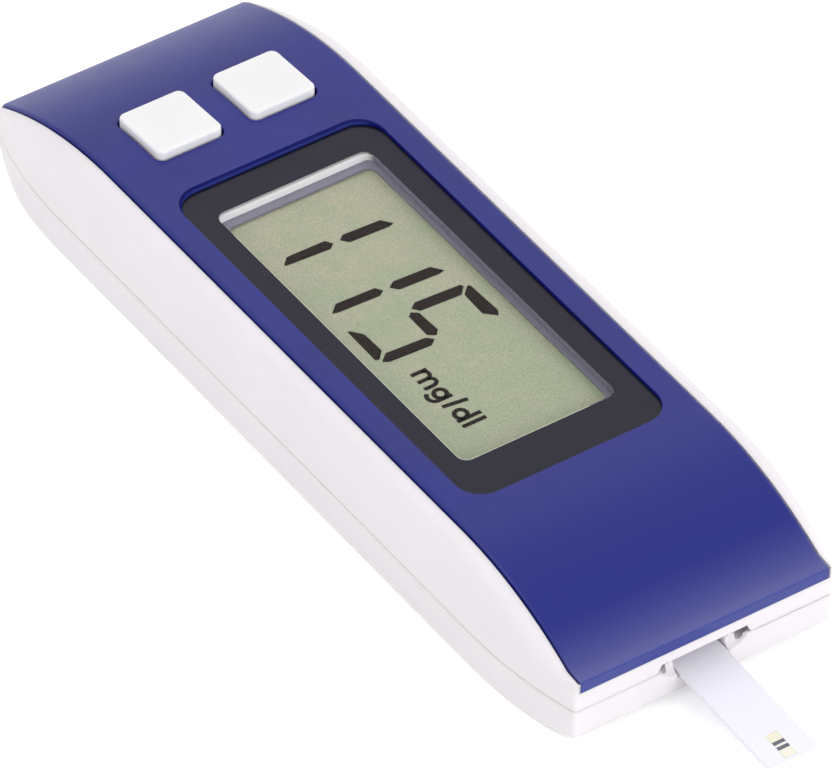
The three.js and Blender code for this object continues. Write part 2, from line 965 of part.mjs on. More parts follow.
function circuitBoard() {
  const blank = plate(
    roundedOutline(bodyWidth - 2 * boardSideMargin, boardRear - boardFront, boardCornerRadius),
    boardBottom,
    boardTop,
    0,
    (boardFront + boardRear) / 2,
  );
  const holes = screwPlaces.map(([x, y]) =>
    postBetween(screwShankRadius + screwHoleFit, 0, bodyHeight, x, y),
  );
  return cut(blank, ...holes);
}

function buzzer() {
  const foot = boardTop + solderGap;
  const top = foot + buzzerThickness;
  return turned(
    [
      [0, foot],
      [buzzerRadius, foot],
      [buzzerRadius, top - buzzerRimHeight],
      [buzzerRimRadius, top],
      [buzzerHoleRadius, top],
      [buzzerHoleRadius, top - buzzerRimHeight],
      [0, top - buzzerRimHeight],
    ],
    0,
    frontY + lensFrontMargin - buzzerLensGap - buzzerRadius,
    roundSegments,
  );
}

function crystal() {
  const radius = displayRoom * crystalRadiusShare;
  return solidOf(
    new THREE.CapsuleGeometry(radius, crystalLength - 2 * radius, edgeSteps, smallSegments)
      .rotateZ(rightAngle)
      .translate(0, lensY - chipFromLens + crystalFromChip, boardTop + solderGap + radius),
  );
}

const connectorFront = frontY + cradleSetBack + cradleLength + connectorCradleGap;
const connectorRear = connectorFront + connectorLength;
const stripStop = frontY + stripInsertion + connectorStopSpare;
const contactX = Array.from(
  { length: contactCount },
  (_, i) => (i - (contactCount - 1) / 2) * contactPitch,
);

function stripConnector() {
  const half = connectorWidth / 2;
  const top = boardBottom - solderGap;
  const body = join(
    block(-half, half, connectorFront, connectorRear, floorThickness + connectorFloorGap, top),
    block(
      -half - connectorEarWidth,
      half + connectorEarWidth,
      connectorRear - connectorEarLength,
      connectorRear,
      top - connectorEarHeight,
      top,
    ),
  );
  const throat = pitchedBlock(
    stripWidth / 2 + stripFit,
    connectorFront - overrun,
    stripStop,
    stripThickness + stripFit,
    connectorHeadroom,
  );
  const slots = contactX.map((x) => {
    const reach = contactWidth / 2 + contactSlotFit;
    return block(
      x - reach,
      x + reach,
      stripStop - contactTipFromStop - contactTipTurn - contactSlotFit,
      stripStop + contactHeelFromStop,
      stripTopAt(stripStop - contactTipFromStop),
      top + overrun,
    );
  });
  return cut(body, throat, ...slots);
}

function stripContact(x) {
  const tipY = stripStop - contactTipFromStop;
  const tip = stripTopAt(tipY) + contactLift;
  const heelY = stripStop + contactHeelFromStop - contactSlotFit;
  const foot = boardBottom - solderGap;
  const rise = tip + (foot - tip) * contactHeelShare;
  const inner = heelY - contactThickness;
  const footEnd = inner - contactTipFromStop / 2;
  const profile = [
    [tipY - contactTipTurn, tip + contactTipRise],
    [tipY, tip],
    [heelY, rise],
    [heelY, foot],
    [footEnd, foot],
    [footEnd, foot - contactThickness],
    [inner, foot - contactThickness],
    [inner, rise + contactThickness],
    [tipY, tip + contactThickness],
    [tipY - contactTipTurn, tip + contactTipRise + contactThickness],
  ];
  return acrossX(profile, x - contactWidth / 2, x + contactWidth / 2);
}

// Coin cell and its contacts

function coinCell() {
  const capRadius = cellRadius - cellCapInset;
  return turned(
    [
      [0, cellBottom],
      [cellRadius - cellEdgeRadius, cellBottom],
      [cellRadius, cellBottom + cellEdgeRadius],
      [cellRadius, cellTop - cellCapRise - cellEdgeRadius],
      [cellRadius - cellEdgeRadius, cellTop - cellCapRise],
      [capRadius, cellTop - cellCapRise],
      [capRadius - cellEdgeRadius, cellTop],
      [0, cellTop],
    ],
    0,
    cellY,
    roundSegments,
  );
}

function negativeContact() {
  const foot = boardBottom - solderGap;
  const pad = cellTop + springLift;
  const footY = cellY + springPadHalf + springTurn + springPadHalf;
  const profile = [
    [cellY - springPadHalf - springTurn, pad + springTurn / 2],
    [cellY - springPadHalf, pad],
    [cellY + springPadHalf, pad],
    [footY, foot - springThickness],
    [footY + springFootLength / 2, foot - springThickness],
    [footY + springFootLength / 2, foot],
    [footY, foot],
    [cellY + springPadHalf, pad + springThickness],
    [cellY - springPadHalf, pad + springThickness],
    [cellY - springPadHalf - springTurn, pad + springTurn / 2 + springThickness],
  ];
  return acrossX(profile, -springWidth / 2, springWidth / 2);
}

function positiveContact() {
  const foot = boardBottom - solderGap;
  const face = cellY - cellRadius - springLift;
  const back = face - springThickness;
  const low = bayLedgeTop + springLift;
  const padTop = low + (foot - springThickness - low) * springPadShare;
  const padMiddle = (low + padTop) / 2;
  const profile = [
    [back - springFootLength, foot - springThickness],
    [back - springTurn, foot - springThickness],
    [back - springTurn, padTop],
    [back, padMiddle],
    [back - springTurn, low],
    [face - springTurn, low],
    [face, padMiddle],
    [face - springTurn, padTop],
    [face - springTurn, foot],
    [back - springFootLength, foot],
  ];
  return acrossX(profile, -springWidth / 2, springWidth / 2);
}

// Screws

function screw(x, y) {
  const seat = screwHeadDepth + screwHeadHeight;
  const top = bossTop - screwHoleFit;
  const body = turned(
    [
      [0, screwHeadDepth],
      [screwHeadRadius - screwHeadChamfer, screwHeadDepth],
      [screwHeadRadius, screwHeadDepth + screwHeadChamfer],
      [screwHeadRadius, seat],
      [screwShankRadius, seat],
      [screwShankRadius, top - screwTipLength],
      [screwTipRadius, top],
      [0, top],
    ],
    x,
    y,
  );
  const arm = screwCrossSpan / 2;
  const blade = screwCrossWidth / 2;
  const depth = screwHeadDepth + screwCrossDepth;
  return cut(
    body,
    block(x - arm, x + arm, y - blade, y + blade, -overrun, depth),
    block(x - blade, x + blade, y - arm, y + arm, -overrun, depth),
  );
}

// Test strip

function testStrip() {
  return solidOf(
    new THREE.ExtrudeGeometry(roundedOutline(stripWidth, stripLength, stripCornerRadius), {
      depth: stripThickness,
      bevelEnabled: false,
      curveSegments,
    }).translate(0, stripLength / 2 - stripReach / Math.cos(stripPitch), -stripThickness),
  );
}

// Keys

const flangeReach = keySize / 2 + keyFlangeWidth;
const flangeTop = -coverThickness - keyFlangeFit - flangeReach ** 2 / (2 * rearArcRadius);

function keyCap() {
  const flange = 2 * flangeReach;
  const flangeBottom = flangeTop - keyFlangeThickness;
  const cap = solidOf(
    new THREE.ExtrudeGeometry(
      roundedOutline(
        keySize - 2 * keyEdgeRadius,
        keySize - 2 * keyEdgeRadius,
        keyCornerRadius - keyEdgeRadius,
      ),
      {
        depth: keyProud - keyEdgeRadius - flangeBottom,
        bevelEnabled: true,
        bevelThickness: keyEdgeRadius,
        bevelSize: keyEdgeRadius,
        bevelSegments: edgeSteps,
        curveSegments,
      },
    ).translate(0, 0, flangeBottom),
  );
  const trimmed = cut(
    cap,
    block(-keySize, keySize, -keySize, keySize, flangeBottom - overrun, flangeTop - keyFlangeThickness / 2),
  );
  return join(
    trimmed,
    plate(roundedOutline(flange, flange, keyCornerRadius), flangeBottom, flangeTop),
    postBetween(keyStemRadius, keyStemEnd, flangeBottom + keyFlangeThickness / 2, 0, 0),
  );
}

const keyRoom = coverTop(keyY) + flangeTop - keyFlangeThickness - boardTop - solderGap;
const switchHeight = keyRoom * switchHeightShare;
const switchTop = boardTop + solderGap + switchHeight;
const plungerWell = switchHeight * plungerWellShare;
const plungerFoot = switchTop - plungerWell + plungerWellSpare;
const plungerTop = switchTop + plungerRise;
const keyStemEnd = plungerTop + stemGap - coverTop(keyY);

function tactSwitch(x) {
  return cut(
    plate(
      roundedOutline(switchSize, switchSize, switchCornerRadius),
      boardTop + solderGap,
      switchTop,
      x,
      keyY,
    ),
    postBetween(
      plungerRadius + plungerFit,
      switchTop - plungerWell,
      switchTop + overrun,
      x,
      keyY,
    ),
  );
}

function switchPlunger(x) {
  return postBetween(plungerRadius, plungerFoot, plungerTop, x, keyY);
}

// Assembly

const finish = {
  whiteShell: { color: 0xeceaec, roughness: 0.42, metalness: 0 },
  blueCover: { color: 0x2a3080, roughness: 0.38, metalness: 0 },
  whiteKey: { color: 0xf4f3f4, roughness: 0.5, metalness: 0 },
  darkLens: { color: 0x34333f, roughness: 0.2, metalness: 0 },
  greyTape: { color: 0x202024, roughness: 0.8, metalness: 0 },
  lightFrame: { color: 0xdfe2e2, roughness: 0.55, metalness: 0 },
  greyMask: { color: 0x6e6c7c, roughness: 0.5, metalness: 0 },
  displayGlass: { color: 0xb4be9e, roughness: 0.15, metalness: 0 },
  reflector: { color: 0xc8cdb8, roughness: 0.4, metalness: 0.2 },
  zebraRubber: { color: 0x3a3a3c, roughness: 0.9, metalness: 0 },
  greenBoard: { color: 0x1d5b34, roughness: 0.5, metalness: 0 },
  blackPlastic: { color: 0x1c1c1e, roughness: 0.6, metalness: 0 },
  ivoryPlastic: { color: 0xe6e2d6, roughness: 0.5, metalness: 0 },
  goldPlate: { color: 0xd2a94e, roughness: 0.3, metalness: 1 },
  steel: { color: 0xb9bcc0, roughness: 0.3, metalness: 1 },
  stripFilm: { color: 0xf1f0f8, roughness: 0.45, metalness: 0 },
};

const meter = new THREE.Group();

const addPiece = (name, geometry, look, parent = meter) => {
  const mesh = new THREE.Mesh(geometry, new THREE.MeshStandardMaterial(look));
  mesh.name = name;
  parent.add(mesh);
  return mesh;
};

const addSolid = (name, solid, look, parent) => addPiece(name, geometryOf(solid), look, parent);

addSolid("top_cover", topCover(), finish.blueCover);
addSolid("upper_housing", upperHousing(), finish.whiteShell);
addSolid("lower_housing", lowerHousing(), finish.whiteShell);
addSolid("battery_door", batteryDoor(), finish.whiteShell);
addSolid("display_lens", displayLens(), finish.darkLens);
addSolid("lens_tape", lensTape(), finish.greyTape);
addSolid("display_frame", displayFrame(), finish.lightFrame);
addSolid("display_mask", displayMask(), finish.greyMask);
addSolid(
  "front_glass",
  displayLayer(glassWidth, glassLength, displayBottom, displayTop),
  finish.displayGlass,
);
addSolid(
  "rear_glass",
  displayLayer(rearGlassWidth, glassLength, rearGlassBottom, displayBottom),
  finish.displayGlass,
);
addSolid(
  "reflector",
  displayLayer(rearGlassWidth, glassLength, rearGlassBottom - reflectorThickness, rearGlassBottom),
  finish.reflector,
);

for (const [side, sign] of [
  ["left", -1],
  ["right", 1],
]) {
  const x = (sign * (rearGlassWidth + zebraWidth + 2 * zebraMargin)) / 2;
  addSolid(
    "zebra_connector_" + side,
    block(
      x - zebraWidth / 2,
      x + zebraWidth / 2,
      apertureY - zebraLength / 2,
      apertureY + zebraLength / 2,
      boardTop + solderGap,
      displayBottom - solderGap,
    ),
    finish.zebraRubber,
  );
}

addSolid("circuit_board", circuitBoard(), finish.greenBoard);
addSolid(
  "microcontroller",
  plate(
    roundedOutline(chipSize, chipSize, chipCornerRadius),
    boardTop + solderGap,
    boardTop + solderGap + displayRoom * chipThicknessShare,
    0,
    lensY - chipFromLens,
  ),
  finish.blackPlastic,
);
addSolid("crystal", crystal(), finish.steel);
addSolid("buzzer", buzzer(), finish.blackPlastic);
addSolid("strip_connector", stripConnector(), finish.blackPlastic);
contactX.forEach((x, i) => addSolid("strip_contact_" + (i + 1), stripContact(x), finish.goldPlate));

addSolid("coin_cell", coinCell(), finish.steel);
addSolid("battery_contact_negative", negativeContact(), finish.steel);
addSolid("battery_contact_positive", positiveContact(), finish.steel);
screwPlaces.forEach(([x, y], i) => addSolid("case_screw_" + (i + 1), screw(x, y), finish.steel));

for (const [side, x] of keyPlaces) {
  const keyFrame = new THREE.Group();
  keyFrame.position.set(x, keyY, coverTop(keyY));
  keyFrame.rotation.x = -keyTilt;
  meter.add(keyFrame);
  addSolid("key_" + side, keyCap(), finish.whiteKey, keyFrame);
  addSolid("switch_" + side, tactSwitch(x), finish.blackPlastic);
  addSolid("switch_plunger_" + side, switchPlunger(x), finish.ivoryPlastic);
}

const stripFrame = new THREE.Group();
stripFrame.position.set(0, frontY, stripPortHeight);
stripFrame.rotation.x = stripPitch;
meter.add(stripFrame);
addSolid("test_strip", testStrip(), finish.stripFilm, stripFrame);

export default meter;
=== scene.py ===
import math

import bmesh
import bpy
from mathutils import Matrix, Vector
from mathutils.geometry import convex_hull_2d


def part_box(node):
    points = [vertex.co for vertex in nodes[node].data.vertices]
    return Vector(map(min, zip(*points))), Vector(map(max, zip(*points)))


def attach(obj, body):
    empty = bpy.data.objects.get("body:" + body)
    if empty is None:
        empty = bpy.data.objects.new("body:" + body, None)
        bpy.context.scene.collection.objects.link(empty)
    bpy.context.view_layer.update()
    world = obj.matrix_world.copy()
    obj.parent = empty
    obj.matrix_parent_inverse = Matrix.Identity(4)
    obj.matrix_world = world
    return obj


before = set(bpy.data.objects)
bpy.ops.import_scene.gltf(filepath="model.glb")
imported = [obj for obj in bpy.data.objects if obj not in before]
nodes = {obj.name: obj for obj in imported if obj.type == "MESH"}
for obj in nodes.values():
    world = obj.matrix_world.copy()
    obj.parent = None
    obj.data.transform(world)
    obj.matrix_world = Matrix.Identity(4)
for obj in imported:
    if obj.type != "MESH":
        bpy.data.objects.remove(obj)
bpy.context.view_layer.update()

# Lower housing: the white lower half of the case, injection moulded in ABS with a fine satin grain.
# It carries the circuit board on four screw posts, the coin cell's bay and the strip's cradle.

MM = 0.001
WHITE_SHELL = (0.816, 0.782, 0.811, 1)
SHELL_MOTTLE = 0.012
SHELL_EDGE = 0.05 * MM
SHELL_ROUGHNESS = 0.42
SHELL_GRAIN_PER_METRE = 9000
SHELL_GRAIN_DEPTH = 0.004 * MM
SHELL_DEPTH = 0.8 * MM
SHELL_DEPTH_WEIGHT = 0.6
EDGE_SOFTNESS = 0.12 * MM
EDGE_SAMPLES = 6
PLASTIC_IOR = 1.5
MOTTLE_PER_METRE = 90
GLOSS_PER_METRE = 400
WELD_DISTANCE = 0.002 * MM


def new_material(name):
    """A material with its node tree and its shader."""
    material = bpy.data.materials.new(name)
    material.use_nodes = True
    tree = material.node_tree
    shader = tree.nodes["Principled BSDF"]
    return material, tree, shader


def noise(tree, per_metre, detail=2.0, roughness=0.55, stretch=(1, 1, 1)):
    """A noise in the part's own metres, stretched along an axis where a finish runs one way."""
    place = tree.nodes.new("ShaderNodeTexCoord")
    scale = tree.nodes.new("ShaderNodeMapping")
    scale.inputs["Scale"].default_value = stretch
    tree.links.new(place.outputs["Object"], scale.inputs["Vector"])
    texture = tree.nodes.new("ShaderNodeTexNoise")
    texture.inputs["Scale"].default_value = per_metre
    texture.inputs["Detail"].default_value = detail
    texture.inputs["Roughness"].default_value = roughness
    tree.links.new(scale.outputs["Vector"], texture.inputs["Vector"])
    return texture


def ramp(tree, source, low, high, start=0.35, end=0.65):
    """Two colours (or two greys) mixed by a noise."""
    band = tree.nodes.new("ShaderNodeValToRGB")
    band.color_ramp.elements[0].position = start
    band.color_ramp.elements[1].position = end
    band.color_ramp.elements[0].color = low
    band.color_ramp.elements[1].color = high
    tree.links.new(source, band.inputs["Fac"])
    return band.outputs["Color"]


def grey(level):
    """A plain value as a grey, for a ramp that drives a value."""
    return (level,) * 3 + (1,)


def shaded(colour, share):
    """A colour made darker or lighter, with its full opacity kept."""
    return tuple(min(1, part * share) for part in colour[:3]) + (1,)


def moulded_plastic(name, colour, roughness, grain_per_metre, grain_depth, mottle=0.03, spread=0.05):
    """Moulded plastic: a slight mottle in its colour, an uneven gloss and a fine spark-eroded grain."""
    material, tree, shader = new_material(name)
    broad = noise(tree, MOTTLE_PER_METRE)
    low = shaded(colour, 1 - mottle)
    high = shaded(colour, 1 + mottle)
    tree.links.new(ramp(tree, broad.outputs["Fac"], low, high), shader.inputs["Base Color"])
    gloss = noise(tree, GLOSS_PER_METRE, detail=3.0)
    dull = grey(roughness + spread)
    bright = grey(roughness - spread)
    tree.links.new(ramp(tree, gloss.outputs["Fac"], bright, dull), shader.inputs["Roughness"])
    grain = noise(tree, grain_per_metre, roughness=0.6)
    bump = tree.nodes.new("ShaderNodeBump")
    bump.inputs["Strength"].default_value = 1
    bump.inputs["Distance"].default_value = grain_depth
    edges = tree.nodes.new("ShaderNodeBevel")
    edges.samples = EDGE_SAMPLES
    edges.inputs["Radius"].default_value = EDGE_SOFTNESS
    tree.links.new(edges.outputs["Normal"], bump.inputs["Normal"])
    tree.links.new(grain.outputs["Fac"], bump.inputs["Height"])
    tree.links.new(bump.outputs["Normal"], shader.inputs["Normal"])
    shader.inputs["IOR"].default_value = PLASTIC_IOR
    return material


def let_light_in(material, weight, radius, depth):
    """Lets light a little way into a pale plastic, which softens its edges."""
    shader = material.node_tree.nodes["Principled BSDF"]
    shader.inputs["Subsurface Weight"].default_value = weight
    shader.inputs["Subsurface Radius"].default_value = radius
    shader.inputs["Subsurface Scale"].default_value = depth


def finish_node(name, material, smooth_degrees=30):
    """Gives a CAD node its material, and smooth shading between faces that meet at a shallow angle."""
    piece = nodes[name]
    piece.data.materials.clear()
    piece.data.materials.append(material)
    if "custom_normal" in piece.data.attributes:
        piece.data.attributes.remove(piece.data.attributes["custom_normal"])
    piece.data.shade_smooth()
    weld = piece.modifiers.new("weld", "WELD")
    weld.merge_threshold = WELD_DISTANCE
    split = piece.modifiers.new("split", "EDGE_SPLIT")
    split.split_angle = math.radians(smooth_degrees)
    even = piece.modifiers.new("even", "WEIGHTED_NORMAL")
    even.keep_sharp = True
    return piece


white_shell = moulded_plastic(
    "white_shell", WHITE_SHELL, SHELL_ROUGHNESS, SHELL_GRAIN_PER_METRE, SHELL_GRAIN_DEPTH, SHELL_MOTTLE
)
white_shell.node_tree.nodes["Bevel"].inputs["Radius"].default_value = SHELL_EDGE
let_light_in(white_shell, SHELL_DEPTH_WEIGHT, (1, 1, 1), SHELL_DEPTH)
finish_node("lower_housing", white_shell)

# Coin cell and its two contacts: nickel-plated steel, turned and stamped, brushed by handling.
# The cell lies cap up in its bay, with one leaf on its cap and one against its rim.

CELL_STEEL = (0.62, 0.63, 0.65, 1)
CELL_ROUGHNESS = 0.28
CELL_STREAKS_PER_METRE = 1500
CONTACT_STEEL = (0.66, 0.66, 0.64, 1)
CONTACT_ROUGHNESS = 0.3
CONTACT_STREAKS_PER_METRE = 2500
ALONG_CELL = (1, 8, 1)
ALONG_LEAF = (8, 1, 1)
DULLER, BRIGHTER = 0.1, 0.08
METAL_SHADE = 0.92


def metal(name, colour, roughness, per_metre, stretch=(1, 1, 1)):
    """Plated or drawn metal with fine streaks in its gloss."""
    material, tree, shader = new_material(name)
    streaks = noise(tree, per_metre, detail=4.0, roughness=0.6, stretch=stretch)
    dull = grey(roughness + DULLER)
    bright = grey(roughness - BRIGHTER)
    tree.links.new(ramp(tree, streaks.outputs["Fac"], bright, dull), shader.inputs["Roughness"])
    darker = shaded(colour, METAL_SHADE)
    tree.links.new(ramp(tree, streaks.outputs["Fac"], darker, colour), shader.inputs["Base Color"])
    shader.inputs["Metallic"].default_value = 1
    return material


cell_steel = metal("cell_steel", CELL_STEEL, CELL_ROUGHNESS, CELL_STREAKS_PER_METRE, ALONG_CELL)
finish_node("coin_cell", cell_steel)
contact_steel = metal(
    "contact_steel", CONTACT_STEEL, CONTACT_ROUGHNESS, CONTACT_STREAKS_PER_METRE, ALONG_LEAF
)
finish_node("battery_contact_negative", contact_steel)
finish_node("battery_contact_positive", contact_steel)

# Circuit board: glass-epoxy laminate under green solder mask, 1 mm thick, held by the four case screws.
# The chip, crystal can, buzzer, strip connector and switches stand on it. Their bodies are black
# moulded plastic, the switch plungers ivory and the crystal's can drawn steel.

BOARD_GREEN = (0.012, 0.105, 0.035, 1)
BOARD_DARK_GREEN = (0.009, 0.085, 0.028, 1)
BOARD_ROUGHNESS = 0.35
WEAVE_PER_METRE = 1800
CHIP_BLACK = (0.012, 0.012, 0.013, 1)
CHIP_ROUGHNESS = 0.5
CHIP_GRAIN_PER_METRE = 6000
CHIP_GRAIN_DEPTH = 0.006 * MM
PLUNGER_IVORY = (0.72, 0.69, 0.6, 1)
PLUNGER_ROUGHNESS = 0.45
PLUNGER_GRAIN_PER_METRE = 6000
PLUNGER_GRAIN_DEPTH = 0.004 * MM
CRYSTAL_STEEL = (0.68, 0.67, 0.64, 1)
CRYSTAL_ROUGHNESS = 0.25
CRYSTAL_STREAKS_PER_METRE = 3000
ALONG_CAN = (1, 6, 6)

board_mask, tree, shader = new_material("board_mask")
weave = noise(tree, WEAVE_PER_METRE)
tree.links.new(
    ramp(tree, weave.outputs["Fac"], BOARD_DARK_GREEN, BOARD_GREEN), shader.inputs["Base Color"]
)
shader.inputs["Roughness"].default_value = BOARD_ROUGHNESS
finish_node("circuit_board", board_mask)

black_plastic = moulded_plastic(
    "black_plastic", CHIP_BLACK, CHIP_ROUGHNESS, CHIP_GRAIN_PER_METRE, CHIP_GRAIN_DEPTH
)
for name in ("microcontroller", "buzzer", "strip_connector", "switch_left", "switch_right"):
    finish_node(name, black_plastic)
ivory_plastic = moulded_plastic(
    "ivory_plastic", PLUNGER_IVORY, PLUNGER_ROUGHNESS, PLUNGER_GRAIN_PER_METRE, PLUNGER_GRAIN_DEPTH
)
finish_node("switch_plunger_left", ivory_plastic)
finish_node("switch_plunger_right", ivory_plastic)
crystal_can = metal(
    "crystal_can", CRYSTAL_STEEL, CRYSTAL_ROUGHNESS, CRYSTAL_STREAKS_PER_METRE, ALONG_CAN
)
finish_node("crystal", crystal_can)

# Strip contacts: three leaves of phosphor bronze, stamped and gold plated. They stand in the
# connector and read the strip's tracks.

CONTACT_GOLD = (0.83, 0.58, 0.22, 1)
GOLD_ROUGHNESS = 0.25
GOLD_STREAKS_PER_METRE = 3000
ALONG_GOLD = (6, 1, 1)

gold_plate = metal("gold_plate", CONTACT_GOLD, GOLD_ROUGHNESS, GOLD_STREAKS_PER_METRE, ALONG_GOLD)
for number in (1, 2, 3):
    finish_node(f"strip_contact_{number}", gold_plate)

# Zebra strips: silicone rubber in thin conductive and insulating layers, cut to length. They are
# pressed between the board and the display glass and carry the board's signals up to it.

ZEBRA_LAYERS_PER_METRE = 700
ZEBRA_BLACK = (0.01, 0.01, 0.01, 1)
ZEBRA_GREY = (0.12, 0.12, 0.11, 1)
ZEBRA_ROUGHNESS = 0.8

zebra, tree, shader = new_material("zebra_rubber")
place = tree.nodes.new("ShaderNodeTexCoord")
layers = tree.nodes.new("ShaderNodeTexWave")
layers.bands_direction = "Y"
layers.inputs["Scale"].default_value = ZEBRA_LAYERS_PER_METRE
tree.links.new(place.outputs["Object"], layers.inputs["Vector"])
tree.links.new(ramp(tree, layers.outputs["Fac"], ZEBRA_BLACK, ZEBRA_GREY), shader.inputs["Base Color"])
shader.inputs["Roughness"].default_value = ZEBRA_ROUGHNESS
finish_node("zebra_connector_left", zebra)
finish_node("zebra_connector_right", zebra)

# Display frame: a polycarbonate moulding that holds the glass in place under the cover. Its far wall,
# which faces the front, and the top of its far rim are painted white, as painted light where they catch
# the light in the window. Its other walls are grey, and its other tops a lighter grey as painted light on
# faces turned up; the rest lies in the window's shade.

FRAME_PAINTED_LIGHT = (0.95, 0.95, 0.96, 1)
FRAME_GREY = (0.20, 0.19, 0.255, 1)
FRAME_TOP_PAINTED_LIGHT_GREY = (0.24, 0.23, 0.30, 1)
FRAME_ROUGHNESS = 0.5
FRAME_SPECKLE_PER_METRE = 4000
FRAME_SPECKLE = 1.08
FRAME_FAR_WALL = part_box("display_mask")[1].y
TOP_FACE_RISE = 0.7
WALL_SHADE_FROM, WALL_SHADE_TO = -0.25, -0.98


def parts_of(tree, vector):
    """The three parts of a vector socket."""
    parts = tree.nodes.new("ShaderNodeSeparateXYZ")
    tree.links.new(vector, parts.inputs["Vector"])
    return parts.outputs


def calculated(tree, operation, first, second):
    """What one operation makes of two values, each a socket or a number."""
    node = tree.nodes.new("ShaderNodeMath")
    node.operation = operation
    for socket, value in zip(node.inputs, (first, second)):
        if isinstance(value, bpy.types.NodeSocket):
            tree.links.new(value, socket)
        else:
            socket.default_value = value
    return node.outputs["Value"]


def graded(tree, value, start, end, power=1.0, interpolation="LINEAR"):
    """A share that grows from 0 to 1 between two values of a socket, straight or by a power."""
    spread = tree.nodes.new("ShaderNodeMapRange")
    spread.interpolation_type = interpolation
    spread.inputs["From Min"].default_value = start
    spread.inputs["From Max"].default_value = end
    tree.links.new(value, spread.inputs["Value"])
    return calculated(tree, "POWER", spread.outputs["Result"], power)


def toned(tree, share, under, colour, most=1.0):
    """A colour laid over another by a share."""
    laid = tree.nodes.new("ShaderNodeMix")
    laid.data_type = "RGBA"
    tree.links.new(calculated(tree, "MULTIPLY", share, most), laid.inputs["Factor"])
    tree.links.new(under, laid.inputs["A"])
    laid.inputs["B"].default_value = colour
    return laid.outputs["Result"]


# Painted light: white on walls that face the front and on the top of the far rim, and a lighter grey on
# the other faces turned up.
light_frame, tree, shader = new_material("light_frame")
facing = parts_of(tree, tree.nodes.new("ShaderNodeNewGeometry").outputs["Normal"])
along = parts_of(tree, tree.nodes.new("ShaderNodeTexCoord").outputs["Object"])
upward = calculated(tree, "GREATER_THAN", facing["Z"], TOP_FACE_RISE)
far_end_painted_light = calculated(tree, "GREATER_THAN", along["Y"], FRAME_FAR_WALL)
far_wall_painted_light = graded(tree, facing["Y"], WALL_SHADE_FROM, WALL_SHADE_TO, 1.0, "SMOOTHSTEP")
painted_light_share = calculated(tree, "MAXIMUM", far_wall_painted_light, calculated(tree, "MULTIPLY", upward, far_end_painted_light))
speckle = noise(tree, FRAME_SPECKLE_PER_METRE)
brighter = shaded(FRAME_GREY, FRAME_SPECKLE)
tone = toned(tree, upward, ramp(tree, speckle.outputs["Fac"], FRAME_GREY, brighter), FRAME_TOP_PAINTED_LIGHT_GREY)
tree.links.new(toned(tree, painted_light_share, tone, FRAME_PAINTED_LIGHT), shader.inputs["Base Color"])
shader.inputs["Roughness"].default_value = FRAME_ROUGHNESS
finish_node("display_frame", light_frame)

# Display mask: grey polyester film round the glass, die cut and bonded on it. It hides the edge of
# the cells, and a thinner film on top covers its join to the frame.

MASK_GREY = (0.21, 0.20, 0.265, 1)
MASK_ROUGHNESS = 0.5
MASK_GRAIN_PER_METRE = 4000
MASK_GRAIN_DEPTH = 0.002 * MM
MASK_MOTTLE = 0.04
MASK_LOW, MASK_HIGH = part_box("display_mask")
FILM_OVERHANG = 0.14 * MM
FILM_SIDE = 0.5 * MM
FILM_END = 0.9 * MM
FILM_CORNER = 1 * MM
FILM_THICKNESS = 0.02 * MM


def rounded_rectangle(width, length, radius, x=0.0, y=0.0, steps=8):
    """An outline with round corners, anticlockwise."""
    points = []
    for corner, (sx, sy) in enumerate(((1, 1), (-1, 1), (-1, -1), (1, -1))):
        for step in range(steps + 1):
            turn = math.pi / 2 * (corner + step / steps)
            points.append(
                (
                    x + sx * (width / 2 - radius) + radius * math.cos(turn),
                    y + sy * (length / 2 - radius) + radius * math.sin(turn),
                )
            )
    return points


def plate_from(name, outline, bottom, top, holes=()):
    """A flat plate between two heights, from outlines of points in metres."""
    mesh = bmesh.new()
    for loop in (outline, *holes):
        corners = [mesh.verts.new((x, y, bottom)) for x, y in loop]
        for first, second in zip(corners, corners[1:] + corners[:1]):
            mesh.edges.new((first, second))
    filled = bmesh.ops.triangle_fill(mesh, use_beauty=True, use_dissolve=False, edges=mesh.edges[:])
    faces = [item for item in filled["geom"] if isinstance(item, bmesh.types.BMFace)]
    raised = bmesh.ops.extrude_face_region(mesh, geom=faces)
    lifted = [item for item in raised["geom"] if isinstance(item, bmesh.types.BMVert)]
    bmesh.ops.translate(mesh, verts=lifted, vec=(0, 0, top - bottom))
    bmesh.ops.recalc_face_normals(mesh, faces=mesh.faces[:])
    data = bpy.data.meshes.new(name)
    mesh.to_mesh(data)
    mesh.free()
    piece = bpy.data.objects.new(name, data)
    bpy.context.scene.collection.objects.link(piece)
    return piece


def dress(piece, material, body):
    """Gives a piece its material and the body that it rides on."""
    piece.data.materials.clear()
    piece.data.materials.append(material)
    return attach(piece, body)


grey_mask = moulded_plastic(
    "grey_mask", MASK_GREY, MASK_ROUGHNESS, MASK_GRAIN_PER_METRE, MASK_GRAIN_DEPTH, MASK_MOTTLE
)
finish_node("display_mask", grey_mask)
mask_width = MASK_HIGH.x - MASK_LOW.x
mask_length = MASK_HIGH.y - MASK_LOW.y
mask_y = (MASK_LOW.y + MASK_HIGH.y) / 2
film = plate_from(
    "display_mask_film",
    rounded_rectangle(
        mask_width + 2 * FILM_OVERHANG, mask_length + 2 * FILM_OVERHANG, FILM_CORNER, 0, mask_y
    ),
    MASK_HIGH.z,
    MASK_HIGH.z + FILM_THICKNESS,
    [rounded_rectangle(mask_width - 2 * FILM_SIDE, mask_length - 2 * FILM_END, FILM_CORNER, 0, mask_y)],
)
dress(film, grey_mask, "housing")

# Display glass: two panes of soda-lime glass with the liquid crystal between them, laid on a foil
# reflector. Unlit cells show the pale green-grey of the polariser, a little warmer toward the far
# end, with a fine sparkle from the reflector behind it.

